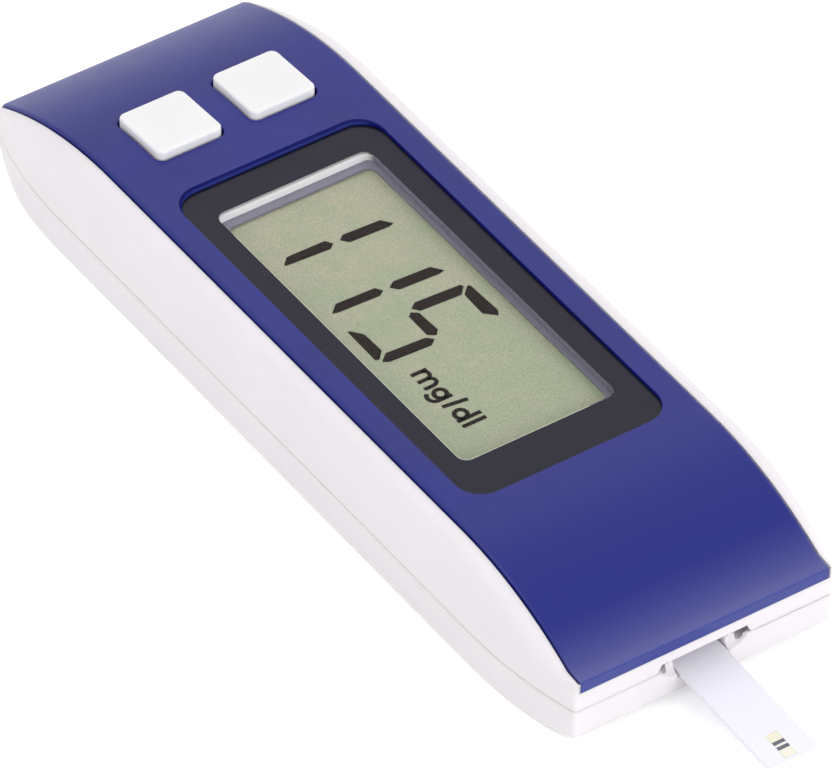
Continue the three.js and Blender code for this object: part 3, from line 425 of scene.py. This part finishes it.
GLASS_GREEN = (0.318, 0.372, 0.240, 1)
GLASS_WARM = (0.405, 0.385, 0.275, 1)
GLASS_PATCHES_PER_METRE = 300
GLASS_NEAR_SHIFT, GLASS_FAR_SHIFT = -0.13, 0.09
GLASS_GREEN_FROM, GLASS_WARM_FROM = 0.36, 0.66
SPARKLE_PER_METRE = 4200
SPARKLE_DARK = (0.24, 0.26, 0.22, 1)
SPARKLE_LIGHT = (0.76, 0.74, 0.78, 1)
SPARKLE_FROM, SPARKLE_TO = 0.3, 0.7
SPARKLE_SHARE = 0.5
POLARISER_ROUGHNESS = 0.4
FOIL_SILVER = (0.75, 0.77, 0.7, 1)
FOIL_ROUGHNESS = 0.4
FOIL_STREAKS_PER_METRE = 4000
GLASS_LOW, GLASS_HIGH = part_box("front_glass")

display_green, tree, shader = new_material("display_green")
broad = noise(tree, GLASS_PATCHES_PER_METRE, detail=4.0, roughness=0.75)
fine = noise(tree, SPARKLE_PER_METRE, detail=3.0, roughness=0.8)
along = parts_of(tree, tree.nodes.new("ShaderNodeTexCoord").outputs["Object"])
warmth = tree.nodes.new("ShaderNodeMapRange")
warmth.inputs["From Min"].default_value = GLASS_LOW.y
warmth.inputs["From Max"].default_value = GLASS_HIGH.y
warmth.inputs["To Min"].default_value = GLASS_NEAR_SHIFT
warmth.inputs["To Max"].default_value = GLASS_FAR_SHIFT
tree.links.new(along["Y"], warmth.inputs["Value"])
patches = calculated(tree, "ADD", broad.outputs["Fac"], warmth.outputs["Result"])
blend = tree.nodes.new("ShaderNodeMix")
blend.data_type = "RGBA"
blend.blend_type = "OVERLAY"
blend.inputs["Factor"].default_value = SPARKLE_SHARE
tree.links.new(
    ramp(tree, patches, GLASS_GREEN, GLASS_WARM, GLASS_GREEN_FROM, GLASS_WARM_FROM), blend.inputs["A"]
)
tree.links.new(
    ramp(tree, fine.outputs["Fac"], SPARKLE_DARK, SPARKLE_LIGHT, SPARKLE_FROM, SPARKLE_TO),
    blend.inputs["B"],
)
tree.links.new(blend.outputs["Result"], shader.inputs["Base Color"])
shader.inputs["Roughness"].default_value = POLARISER_ROUGHNESS
finish_node("front_glass", display_green)
finish_node("rear_glass", display_green)
reflector_foil = metal("reflector_foil", FOIL_SILVER, FOIL_ROUGHNESS, FOIL_STREAKS_PER_METRE)
finish_node("reflector", reflector_foil)

# Figures: seven-bar digits that read from the key end toward the port, with their tops to the right.
# In the real display they are dark cells of the liquid crystal; here each bar is a thin plate on the
# front pane's face. Their corners are in millimetres from the middle of the lens.

FIGURE_DARK = (0.007, 0.003, 0.002, 1)
FIGURE_LIGHTER = (0.016, 0.008, 0.007, 1)
FIGURE_NOISE_PER_METRE = 3000
FIGURE_ROUGHNESS = 0.6
FIGURE_SPECULAR = 0.1
LENS_LOW, LENS_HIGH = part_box("display_lens")
LENS_Y = (LENS_LOW.y + LENS_HIGH.y) / 2
FIGURE_LIFT = 0.01 * MM
FIGURE_THICKNESS = 0.02 * MM
BARS = {
    "hundreds_lower": [
        (-7.13, 14.21), (-6.16, 15.18), (-1.42, 15.1), (-0.88, 14.3), (-1.57, 13.75),
        (-6.68, 14.06),
    ],
    "hundreds_upper": [
        (0.0, 14.36), (0.67, 14.89), (5.28, 14.66), (6.19, 13.51), (5.54, 13.31),
        (0.65, 13.53),
    ],
    "tens_lower": [
        (-7.15, 5.46), (-6.01, 6.48), (-1.22, 6.3), (-0.69, 5.5), (-1.42, 5.03),
        (-6.58, 5.24),
    ],
    "tens_upper": [
        (0.09, 5.51), (0.93, 6.11), (5.48, 5.88), (6.43, 4.64), (5.7, 4.48), (0.82, 4.72),
    ],
    "units_upper_left": [
        (0.15, 1.62), (0.95, 2.25), (6.53, 1.92), (6.67, 1.52), (5.73, 0.59), (0.78, 0.86),
    ],
    "units_top": [
        (6.0, 0.43), (7.03, 1.42), (7.35, 1.28), (7.55, -3.34), (7.15, -4.09), (5.89, -2.93),
    ],
    "units_middle": [
        (-0.75, 0.79), (-0.25, 1.21), (0.47, 0.67), (0.62, -2.46), (-0.01, -3.11),
        (-0.82, -2.51),
    ],
    "units_lower_right": [
        (-7.04, -3.4), (-5.98, -2.51), (-1.18, -2.78), (-0.48, -3.48), (-1.32, -4.1),
        (-6.4, -3.82),
    ],
    "units_bottom": [
        (-7.43, 2.25), (-7.15, 2.25), (-6.17, 1.02), (-6.06, -1.94), (-7.05, -2.96),
        (-7.49, -2.8),
    ],
}

figure_dark, tree, shader = new_material("figure_dark")
ink = noise(tree, FIGURE_NOISE_PER_METRE)
tree.links.new(ramp(tree, ink.outputs["Fac"], FIGURE_DARK, FIGURE_LIGHTER), shader.inputs["Base Color"])
shader.inputs["Roughness"].default_value = FIGURE_ROUGHNESS
shader.inputs["Specular IOR Level"].default_value = FIGURE_SPECULAR
for name, bar in BARS.items():
    outline = [(x * MM, LENS_Y + y * MM) for x, y in bar]
    low = GLASS_HIGH.z + FIGURE_LIFT
    figure = plate_from("figure_" + name, outline, low, low + FIGURE_THICKNESS)
    dress(figure, figure_dark, "housing")

# Unit: plain lettering after the figures, dark cells of the same display. Each letter is pen strokes
# and rings, in millimetres along and across the line of lettering, which runs toward the port.

UNIT_START = 5.722 * MM
STROKE_WIDTH = 0.5
BOWL_RADIUS = 0.68
RING_STEPS = 32
UNIT_STROKES = {
    "m_first": [(1.05, -5.78), (1.05, -3.83)],
    "m_second": [
        (1.1, -4.5), (1.25, -4.15), (1.55, -3.98), (1.9, -4.02), (2.2, -4.3), (2.3, -4.7),
        (2.3, -5.78),
    ],
    "m_third": [
        (2.3, -4.6), (2.45, -4.2), (2.75, -3.98), (3.1, -4.02), (3.38, -4.3), (3.47, -4.7),
        (3.47, -5.78),
    ],
    "g_tail": [
        (5.63, -3.85), (5.63, -5.6), (5.5, -6.0), (5.2, -6.25), (4.8, -6.33), (4.45, -6.25),
        (4.17, -6.0),
    ],
    "slash": [(6.62, -5.8), (7.02, -2.85)],
    "d_stem": [(9.3, -5.78), (9.3, -2.82)],
    "l": [(10.2, -5.75), (10.2, -2.82)],
}
UNIT_BOWLS = {"g_bowl": (4.86, -4.78), "d_bowl": (8.52, -4.78)}


def stroke(points, width):
    """The outline of a pen stroke of one width along some points."""
    left, right = [], []
    for here, (x, y) in enumerate(points):
        before = Vector(points[max(here - 1, 0)])
        after = Vector(points[min(here + 1, len(points) - 1)])
        along = (after - before).normalized() * width / 2
        left.append((x - along.y, y + along.x))
        right.append((x + along.y, y - along.x))
    return left + right[::-1]


def ring(centre, radius, steps):
    """The points of a circle."""
    turns = [2 * math.pi * step / steps for step in range(steps)]
    return [(centre[0] + radius * math.cos(turn), centre[1] + radius * math.sin(turn)) for turn in turns]


def on_glass(points):
    """Points along and across the lettering, as places on the glass."""
    return [(across * MM, LENS_Y - UNIT_START - reach * MM) for reach, across in points]


unit_outlines = {name: [stroke(points, STROKE_WIDTH)] for name, points in UNIT_STROKES.items()}
for name, centre in UNIT_BOWLS.items():
    unit_outlines[name] = [
        ring(centre, BOWL_RADIUS + STROKE_WIDTH / 2, RING_STEPS),
        ring(centre, BOWL_RADIUS - STROKE_WIDTH / 2, RING_STEPS),
    ]
for name, (outline, *holes) in unit_outlines.items():
    low = GLASS_HIGH.z + FIGURE_LIFT
    high = low + FIGURE_THICKNESS
    letter = plate_from("unit_" + name, on_glass(outline), low, high, [on_glass(hole) for hole in holes])
    dress(letter, figure_dark, "housing")

# Upper housing: the white upper half, moulded in the same ABS as the lower one. Its rounded shoulders
# follow the cover's arch, and four screws from below hold it down.

finish_node("upper_housing", white_shell)

# Parting bead: the lip of the lower shell, moulded with it, that closes the joint between the halves
# almost to the wall. It stops at the port.

BEAD_WIDTH = 0.5 * MM
BEAD_INSET = 0.03 * MM
BEAD_FIT = 0.002 * MM
BEAD_PORT_HALF = 6.6 * MM

upper_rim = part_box("upper_housing")[0].z
lower_shell = nodes["lower_housing"]
corners = [lower_shell.matrix_world @ corner.co for corner in lower_shell.data.vertices]
lower_rim = max(corner.z for corner in corners if corner.z < upper_rim - BEAD_FIT)
rim_points = [corner.xy for corner in corners if corner.z > lower_rim - BEAD_FIT and corner.z < upper_rim]
hull = [rim_points[index] for index in convex_hull_2d(rim_points)]
hull.sort(key=lambda point: math.atan2(point.x, -point.y) % (2 * math.pi))
rim_half_width = max(point.x for point in hull)
rim_half_length = max(point.y for point in hull)
bead_inset = BEAD_INSET + BEAD_WIDTH / 2
bead_path = [
    (point.x * (1 - bead_inset / rim_half_width), point.y * (1 - bead_inset / rim_half_length))
    for point in hull
    if abs(point.x) > BEAD_PORT_HALF or point.y > 0
]
front = min(y for x, y in bead_path)
bead_path = [(BEAD_PORT_HALF, front), *bead_path, (-BEAD_PORT_HALF, front)]
bead = plate_from(
    "parting_bead", stroke(bead_path, BEAD_WIDTH), lower_rim + BEAD_FIT, upper_rim - BEAD_FIT
)
dress(bead, white_shell, "housing")

# Cover: the blue arched fascia, moulded in ABS with a glossy satin face and bonded into the upper
# housing. The blue greys toward both ends of the arch with a painted sheen, the room's reflection at a
# grazing angle. It is deepest on the slope before the lens. The lip, which faces the front, is brighter
# with a painted reflection. Along the far edge of the lens's recess, a thin dark-blue film is painted
# shade of the recess wall.

COVER_BLUE = (0.002, 0.005, 0.184, 1)
COVER_LIP_REFLECTION_BLUE = (0.022, 0.036, 0.25, 1)
COVER_END_SHEEN_BLUE = (0.080, 0.086, 0.29, 1)
COVER_SLOPE_BLUE = (0.001, 0.007, 0.186, 1)
COVER_ROUGHNESS = 0.36
COVER_IOR = 1.45
COVER_GRAIN_PER_METRE = 5000
COVER_GRAIN_DEPTH = 0.003 * MM
COVER_MOTTLE = 0.09
COVER_GLOSS_SPREAD = 0.02
SLOPE_FROM, SLOPE_TO = 9 * MM, -5 * MM
NEAR_END_FROM, NEAR_END_TO, NEAR_END_POWER = 7 * MM, 0.4 * MM, 1.7
FAR_END_FROM, FAR_END_POWER, FAR_END_MOST = -12 * MM, 1.5, 0.65
LIP_FROM, LIP_TO = -0.55, -0.85
RECESS_PAINTED_SHADE_BLUE = (0.0, 0.002, 0.10, 1)
RECESS_LIGHTER = 1.1
RECESS_NOISE_PER_METRE = 3000
RECESS_ROUGHNESS = 0.6
RECESS_SPECULAR = 0.1
RECESS_CORNER = 3.12 * MM
RECESS_FIT = 0.12 * MM
RECESS_SHADE = 0.5 * MM
RECESS_FILM = 0.01 * MM
COVER_LOW, COVER_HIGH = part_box("top_cover")

cover_blue = moulded_plastic(
    "cover_blue",
    COVER_BLUE,
    COVER_ROUGHNESS,
    COVER_GRAIN_PER_METRE,
    COVER_GRAIN_DEPTH,
    COVER_MOTTLE,
    COVER_GLOSS_SPREAD,
)
tree = cover_blue.node_tree
shader = tree.nodes["Principled BSDF"]
facing = parts_of(tree, tree.nodes.new("ShaderNodeNewGeometry").outputs["Normal"])
along = parts_of(tree, tree.nodes.new("ShaderNodeTexCoord").outputs["Object"])
# Painted sheen toward both ends of the arch, and a painted reflection on faces turned to the front, such
# as the lip.
slope = graded(tree, along["Y"], LENS_LOW.y + SLOPE_FROM, LENS_LOW.y + SLOPE_TO)
near_end_painted_sheen = graded(
    tree, along["Y"], COVER_LOW.y + NEAR_END_FROM, COVER_LOW.y + NEAR_END_TO, NEAR_END_POWER
)
far_end_painted_light = graded(tree, along["Y"], COVER_HIGH.y + FAR_END_FROM, COVER_HIGH.y, FAR_END_POWER)
lip_painted_reflection = graded(tree, facing["Y"], LIP_FROM, LIP_TO, 1.0, "SMOOTHSTEP")
tone = toned(tree, slope, shader.inputs["Base Color"].links[0].from_socket, COVER_SLOPE_BLUE)
tone = toned(tree, near_end_painted_sheen, tone, COVER_END_SHEEN_BLUE)
tone = toned(tree, far_end_painted_light, tone, COVER_END_SHEEN_BLUE, FAR_END_MOST)
tone = toned(tree, lip_painted_reflection, tone, COVER_LIP_REFLECTION_BLUE)
tree.links.new(tone, shader.inputs["Base Color"])
shader.inputs["IOR"].default_value = COVER_IOR
finish_node("top_cover", cover_blue)

# Painted shade: a thin dark-blue film on the cover along the far edge of the lens's recess, standing in
# for the recess wall in shade.
painted_recess_shade, tree, shader = new_material("painted_recess_shade")
depth = noise(tree, RECESS_NOISE_PER_METRE)
lighter = shaded(RECESS_PAINTED_SHADE_BLUE, RECESS_LIGHTER)
tree.links.new(ramp(tree, depth.outputs["Fac"], RECESS_PAINTED_SHADE_BLUE, lighter), shader.inputs["Base Color"])
shader.inputs["Roughness"].default_value = RECESS_ROUGHNESS
shader.inputs["Specular IOR Level"].default_value = RECESS_SPECULAR
recess_width = LENS_HIGH.x - LENS_LOW.x + 2 * RECESS_FIT
recess_length = LENS_HIGH.y - LENS_LOW.y + 2 * RECESS_FIT
brink = rounded_rectangle(recess_width, recess_length, RECESS_CORNER, 0, LENS_Y + RECESS_SHADE)
foot = rounded_rectangle(recess_width, recess_length, RECESS_CORNER, 0, LENS_Y)
far_half = len(foot) // 2
recess_painted_shade = plate_from(
    "cover_recess_painted_shade",
    brink[:far_half] + foot[:far_half][::-1],
    COVER_HIGH.z,
    COVER_HIGH.z + RECESS_FILM,
)
dress(recess_painted_shade, painted_recess_shade, "housing")

# Lens: a thin acrylic pane, cut from sheet with a hard coat. It is let into the cover and held by a
# frame of tape, and has a dark border screen printed round its window.

BORDER_DARK = (0.003, 0.002, 0.014, 1)
BORDER_ROUGHNESS = 0.3
BORDER_GRAIN_PER_METRE = 4000
BORDER_GRAIN_DEPTH = 0.001 * MM
BORDER_MOTTLE = 0.03
BORDER_GLOSS_SPREAD = 0.03
WINDOW_WIDTH = 19.4 * MM
WINDOW_LENGTH = 44.9 * MM
WINDOW_SHIFT = 0.75 * MM
WINDOW_SIDE_SHIFT = -0.1 * MM
WINDOW_CORNER = 1.2 * MM
BORDER_LIFT = 0.005 * MM
BORDER_THICKNESS = 0.01 * MM
BORDER_LAP = 0.1 * MM
BORDER_CORNER = 3.1 * MM
BORDER_IOR = 1.33
COAT_ROUGHNESS = 0.08
COAT_IOR = 1.2

lens_clear, tree, shader = new_material("lens_clear")
clear = tree.nodes.new("ShaderNodeBsdfTransparent")
sheen = tree.nodes.new("ShaderNodeBsdfGlossy")
sheen.inputs["Roughness"].default_value = COAT_ROUGHNESS
gloss = tree.nodes.new("ShaderNodeFresnel")
gloss.inputs["IOR"].default_value = COAT_IOR
mixed = tree.nodes.new("ShaderNodeMixShader")
facing = tree.nodes.new("ShaderNodeNewGeometry")
outward = calculated(tree, "SUBTRACT", 1, facing.outputs["Backfacing"])
share = calculated(tree, "MULTIPLY", gloss.outputs["Fac"], outward)
tree.links.new(share, mixed.inputs["Fac"])
tree.links.new(clear.outputs["BSDF"], mixed.inputs[1])
tree.links.new(sheen.outputs["BSDF"], mixed.inputs[2])
tree.links.new(mixed.outputs["Shader"], tree.nodes["Material Output"].inputs["Surface"])
finish_node("display_lens", lens_clear)

lens_border_ink = moulded_plastic(
    "lens_border_ink",
    BORDER_DARK,
    BORDER_ROUGHNESS,
    BORDER_GRAIN_PER_METRE,
    BORDER_GRAIN_DEPTH,
    BORDER_MOTTLE,
    BORDER_GLOSS_SPREAD,
)
lens_border_ink.node_tree.nodes["Principled BSDF"].inputs["IOR"].default_value = BORDER_IOR
border_low = LENS_HIGH.z + BORDER_LIFT
lens_width = LENS_HIGH.x - LENS_LOW.x
lens_length = LENS_HIGH.y - LENS_LOW.y
border = plate_from(
    "lens_border",
    rounded_rectangle(
        lens_width + 2 * BORDER_LAP, lens_length + 2 * BORDER_LAP, BORDER_CORNER, 0, LENS_Y
    ),
    border_low,
    border_low + BORDER_THICKNESS,
    [
        rounded_rectangle(
            WINDOW_WIDTH, WINDOW_LENGTH, WINDOW_CORNER, WINDOW_SIDE_SHIFT, LENS_Y + WINDOW_SHIFT
        )
    ],
)
dress(border, lens_border_ink, "housing")

# Edge of the print: along the left and the near edge of the window, a thin pale strip is a painted glint
# where the bare edge of the acrylic catches the light as a hairline.

HAIRLINE = 0.07 * MM
HAIRLINE_COLOUR = (0.70, 0.76, 0.60, 1)
HAIRLINE_ROUGHNESS = 0.4
HAIRLINE_GRAIN_PER_METRE = 4000
HAIRLINE_GRAIN_DEPTH = 0.001 * MM
HAIRLINE_STEPS = 8
HAIRLINE_STOP = 3 * WINDOW_CORNER

left_x = WINDOW_SIDE_SHIFT - WINDOW_WIDTH / 2
right_x = left_x + WINDOW_WIDTH
near_y = LENS_Y + WINDOW_SHIFT - WINDOW_LENGTH / 2
far_y = near_y + WINDOW_LENGTH
edge_glint = moulded_plastic(
    "edge_glint",
    HAIRLINE_COLOUR,
    HAIRLINE_ROUGHNESS,
    HAIRLINE_GRAIN_PER_METRE,
    HAIRLINE_GRAIN_DEPTH,
)
glint_path = [(left_x, far_y - HAIRLINE_STOP), (left_x, near_y + WINDOW_CORNER)]
for step in range(1, HAIRLINE_STEPS + 1):
    turn = math.pi + math.pi / 2 * step / HAIRLINE_STEPS
    glint_path.append(
        (
            left_x + WINDOW_CORNER + WINDOW_CORNER * math.cos(turn),
            near_y + WINDOW_CORNER + WINDOW_CORNER * math.sin(turn),
        )
    )
glint_path.append((right_x - HAIRLINE_STOP, near_y))
inner_path = [
    (left_x + HAIRLINE, far_y - HAIRLINE_STOP),
    (left_x + HAIRLINE, near_y + WINDOW_CORNER),
]
for x, y in glint_path[2:-1]:
    centre = Vector((left_x + WINDOW_CORNER, near_y + WINDOW_CORNER))
    inward = (centre - Vector((x, y))).normalized() * HAIRLINE
    inner_path.append((x + inward.x, y + inward.y))
inner_path.append((right_x - HAIRLINE_STOP, near_y + HAIRLINE))
glint = plate_from(
    "lens_edge_glint",
    glint_path + inner_path[::-1],
    border_low,
    border_low + BORDER_THICKNESS / 2,
)
dress(glint, edge_glint, "housing")

# Lens tape: double-sided foam tape, die cut as a frame, that bonds the lens to the ledge of the
# cover's recess.

TAPE_GREY = (0.3, 0.3, 0.31, 1)
TAPE_ROUGHNESS = 0.8
TAPE_CELLS_PER_METRE = 3000
TAPE_CELL_DEPTH = 0.01 * MM

tape_foam = moulded_plastic(
    "tape_foam", TAPE_GREY, TAPE_ROUGHNESS, TAPE_CELLS_PER_METRE, TAPE_CELL_DEPTH
)
finish_node("lens_tape", tape_foam)

# Keys: two square white caps, moulded with a soft satin face. Each has a flange under the cover that
# keeps it in and a stem that stands on its switch.

KEY_WHITE = (0.865, 0.855, 0.865, 1)
KEY_ROUGHNESS = 0.5
KEY_GRAIN_PER_METRE = 9000
KEY_GRAIN_DEPTH = 0.004 * MM
KEY_MOTTLE = 0.01
KEY_TINT = (1, 0.9, 0.9)
KEY_DEPTH = 0.8 * MM
KEY_DEPTH_WEIGHT = 0.6
KEY_SMOOTH_DEGREES = 50

key_white = moulded_plastic(
    "key_white", KEY_WHITE, KEY_ROUGHNESS, KEY_GRAIN_PER_METRE, KEY_GRAIN_DEPTH, KEY_MOTTLE
)
let_light_in(key_white, KEY_DEPTH_WEIGHT, KEY_TINT, KEY_DEPTH)
finish_node("key_left", key_white, KEY_SMOOTH_DEGREES)
finish_node("key_right", key_white, KEY_SMOOTH_DEGREES)

# Battery door: the same white ABS as the shells, moulded with finger grips across it. It slides out
# under the tail on two rails.

finish_node("battery_door", white_shell)

# Case screws: small cross-head thread-forming screws, nickel plated. They are sunk in the lower
# housing and bite in the posts of the upper one.

SCREW_STEEL = (0.6, 0.6, 0.6, 1)
SCREW_ROUGHNESS = 0.3
SCREW_STREAKS_PER_METRE = 3000

screw_steel = metal("screw_steel", SCREW_STEEL, SCREW_ROUGHNESS, SCREW_STREAKS_PER_METRE)
for number in (1, 2, 3, 4):
    finish_node(f"case_screw_{number}", screw_steel)

# Test strip: white polyester laminate with a clear satin film over it, punched from sheet. It is
# pushed by hand into the port, and its small marked field near the tip shows where the drop goes.

STRIP_WHITE = (0.88, 0.865, 0.95, 1)
STRIP_ROUGHNESS = 0.4
STRIP_GRAIN_PER_METRE = 5000
STRIP_GRAIN_DEPTH = 0.002 * MM
STRIP_MOTTLE = 0.01
STRIP_TIP_REACH = 0.05 * MM
STRIP_TIP_INSET = 0.35 * MM
MARK_HALF = 0.72 * MM
MARK_LIFT = 0.006 * MM
MARK_THICKNESS = 0.01 * MM
MARK_ROUGHNESS = 0.45
MARKS = [
    ("strip_mark_cream", 0.0, 1.15, (0.90, 0.86, 0.74, 1)),
    ("strip_mark_dark_1", 1.15, 0.45, (0.13, 0.13, 0.17, 1)),
    ("strip_mark_gap", 1.6, 0.3, (0.88, 0.87, 0.80, 1)),
    ("strip_mark_dark_2", 1.9, 0.45, (0.13, 0.13, 0.17, 1)),
    ("strip_mark_yellow", 2.35, 1.15, (0.88, 0.85, 0.66, 1)),
]

strip_film = moulded_plastic(
    "strip_film", STRIP_WHITE, STRIP_ROUGHNESS, STRIP_GRAIN_PER_METRE, STRIP_GRAIN_DEPTH, STRIP_MOTTLE
)
strip_node = finish_node("test_strip", strip_film)
strip_points = [strip_node.matrix_world @ corner.co for corner in strip_node.data.vertices]
strip_low = min(point.y for point in strip_points)
tip_top = max(point.z for point in strip_points if point.y < strip_low + STRIP_TIP_REACH)
strip_high = max(strip_points, key=lambda point: point.z)
along = Vector((0, strip_high.y - strip_low, strip_high.z - tip_top)).normalized()
above = Vector((0, -along.z, along.y))
strip_frame = Matrix((Vector((1, 0, 0)), along, above)).transposed().to_4x4()
strip_frame.translation = Vector((0, strip_low, tip_top))
for name, start, length, colour in MARKS:
    near = STRIP_TIP_INSET + start * MM
    far = near + length * MM
    mark = plate_from(
        name,
        [(-MARK_HALF, near), (MARK_HALF, near), (MARK_HALF, far), (-MARK_HALF, far)],
        MARK_LIFT,
        MARK_LIFT + MARK_THICKNESS,
    )
    mark.data.transform(strip_frame)
    ink = moulded_plastic(name, colour, MARK_ROUGHNESS, STRIP_GRAIN_PER_METRE, STRIP_GRAIN_DEPTH)
    dress(mark, ink, "strip")

# Camera: a long lens from the photograph's angle, a little over a metre away. It is placed from the
# middle of the display lens.

AZIMUTH, ELEVATION, ROLL = math.radians(-36.73), math.radians(42.46), math.radians(2.60)
DISTANCE = 1182.2 * MM
FOCAL_LENGTH = 497.3
SENSOR_WIDTH = 36
CLIP_NEAR, CLIP_FAR = 0.05, 10
AIM_RIGHT, AIM_UP = -0.411 * MM, -8.517 * MM
AIM_RISE = 0.27 * MM

back = Vector(
    (
        math.sin(AZIMUTH) * math.cos(ELEVATION),
        -math.cos(AZIMUTH) * math.cos(ELEVATION),
        math.sin(ELEVATION),
    )
)
level = Vector((math.cos(AZIMUTH), math.sin(AZIMUTH), 0))
upright = back.cross(level)
right = level * math.cos(ROLL) + upright * math.sin(ROLL)
up = upright * math.cos(ROLL) - level * math.sin(ROLL)
aim = Vector((0, LENS_Y, COVER_HIGH.z + AIM_RISE))
camera = bpy.data.objects.new("camera", bpy.data.cameras.new("camera"))
camera.data.lens = FOCAL_LENGTH
camera.data.sensor_width = SENSOR_WIDTH
camera.data.clip_start = CLIP_NEAR
camera.data.clip_end = CLIP_FAR
camera.matrix_world = Matrix.Translation(
    aim + right * AIM_RIGHT + up * AIM_UP + back * DISTANCE
) @ Matrix((right, up, back)).transposed().to_4x4()
bpy.context.scene.collection.objects.link(camera)
bpy.context.scene.camera = camera

# Studio: a plain white sweep under four soft boxes, in a white room that is brightest at the height
# of the table. Each lamp has its place, width, height and power.

FLOOR_HALF = 0.6
FLOOR_DROP = 0.02 * MM
FLOOR_WHITE = (0.9, 0.9, 0.9, 1)
FLOOR_ROUGHNESS = 0.9
FLOOR_LIFT = 0.35
HORIZON_LEVEL = 1.14
ZENITH_LEVEL = 0.56
TABLE_MIDDLE = (0, 0, 0)
LAMPS = {
    "key_light": ((-0.35, 0.25, 0.7), 0.6, 0.5, 1.2),
    "front_light": ((0.15, -0.75, 0.4), 0.6, 0.4, 2.4),
    "right_light": ((0.7, 0.1, 0.45), 0.5, 0.4, 0.3),
    "far_light": ((0.4, 0.55, 0.6), 0.5, 0.35, 0.3),
}


def soft_box(name, place, target, width, height, power):
    """A rectangular lamp that faces a point."""
    light = bpy.data.objects.new(name, bpy.data.lights.new(name, "AREA"))
    light.data.shape = "RECTANGLE"
    light.data.size = width
    light.data.size_y = height
    light.data.energy = power
    light.location = place
    light.rotation_euler = (Vector(place) - Vector(target)).to_track_quat("Z", "Y").to_euler()
    bpy.context.scene.collection.objects.link(light)
    return light


def sight_rays(tree):
    """1 for what the camera sees, straight on, through a clear piece or in a glossy one, and else 0."""
    rays = tree.nodes.new("ShaderNodeLightPath").outputs
    in_gloss = calculated(tree, "MAXIMUM", rays["Is Glossy Ray"], rays["Is Transmission Ray"])
    return calculated(tree, "MAXIMUM", rays["Is Camera Ray"], in_gloss)


for lamp, (place, width, height, power) in LAMPS.items():
    soft_box(lamp, place, TABLE_MIDDLE, width, height, power)

world = bpy.data.worlds.new("studio")
world.use_nodes = True
bpy.context.scene.world = world
tree = world.node_tree
background = tree.nodes["Background"]
background.inputs["Color"].default_value = (1, 1, 1, 1)
direction = parts_of(tree, tree.nodes.new("ShaderNodeTexCoord").outputs["Generated"])
level = tree.nodes.new("ShaderNodeMapRange")
level.inputs["To Min"].default_value = HORIZON_LEVEL
level.inputs["To Max"].default_value = ZENITH_LEVEL
tree.links.new(direction["Z"], level.inputs["Value"])
tree.links.new(level.outputs["Result"], background.inputs["Strength"])
seen = tree.nodes.new("ShaderNodeBackground")
seen.inputs["Color"].default_value = (1, 1, 1, 1)
seen.inputs["Strength"].default_value = 1
choose = tree.nodes.new("ShaderNodeMixShader")
tree.links.new(sight_rays(tree), choose.inputs["Fac"])
tree.links.new(background.outputs["Background"], choose.inputs[1])
tree.links.new(seen.outputs["Background"], choose.inputs[2])
tree.links.new(choose.outputs["Shader"], tree.nodes["World Output"].inputs["Surface"])

floor_mesh = bmesh.new()
floor_corners = [
    floor_mesh.verts.new((x * FLOOR_HALF, y * FLOOR_HALF, -FLOOR_DROP))
    for x, y in ((-1, -1), (1, -1), (1, 1), (-1, 1))
]
floor_mesh.faces.new(floor_corners)
floor_data = bpy.data.meshes.new("floor")
floor_mesh.to_mesh(floor_data)
floor_mesh.free()
floor = bpy.data.objects.new("floor", floor_data)
bpy.context.scene.collection.objects.link(floor)
floor_white, tree, shader = new_material("floor_white")
shader.inputs["Base Color"].default_value = FLOOR_WHITE
shader.inputs["Roughness"].default_value = FLOOR_ROUGHNESS
glow = tree.nodes.new("ShaderNodeEmission")
lift = calculated(tree, "MULTIPLY", sight_rays(tree), FLOOR_LIFT)
tree.links.new(lift, glow.inputs["Strength"])
total = tree.nodes.new("ShaderNodeAddShader")
tree.links.new(shader.outputs["BSDF"], total.inputs[0])
tree.links.new(glow.outputs["Emission"], total.inputs[1])
tree.links.new(total.outputs["Shader"], tree.nodes["Material Output"].inputs["Surface"])
floor_data.materials.append(floor_white)

bpy.context.scene.view_settings.view_transform = "Standard"
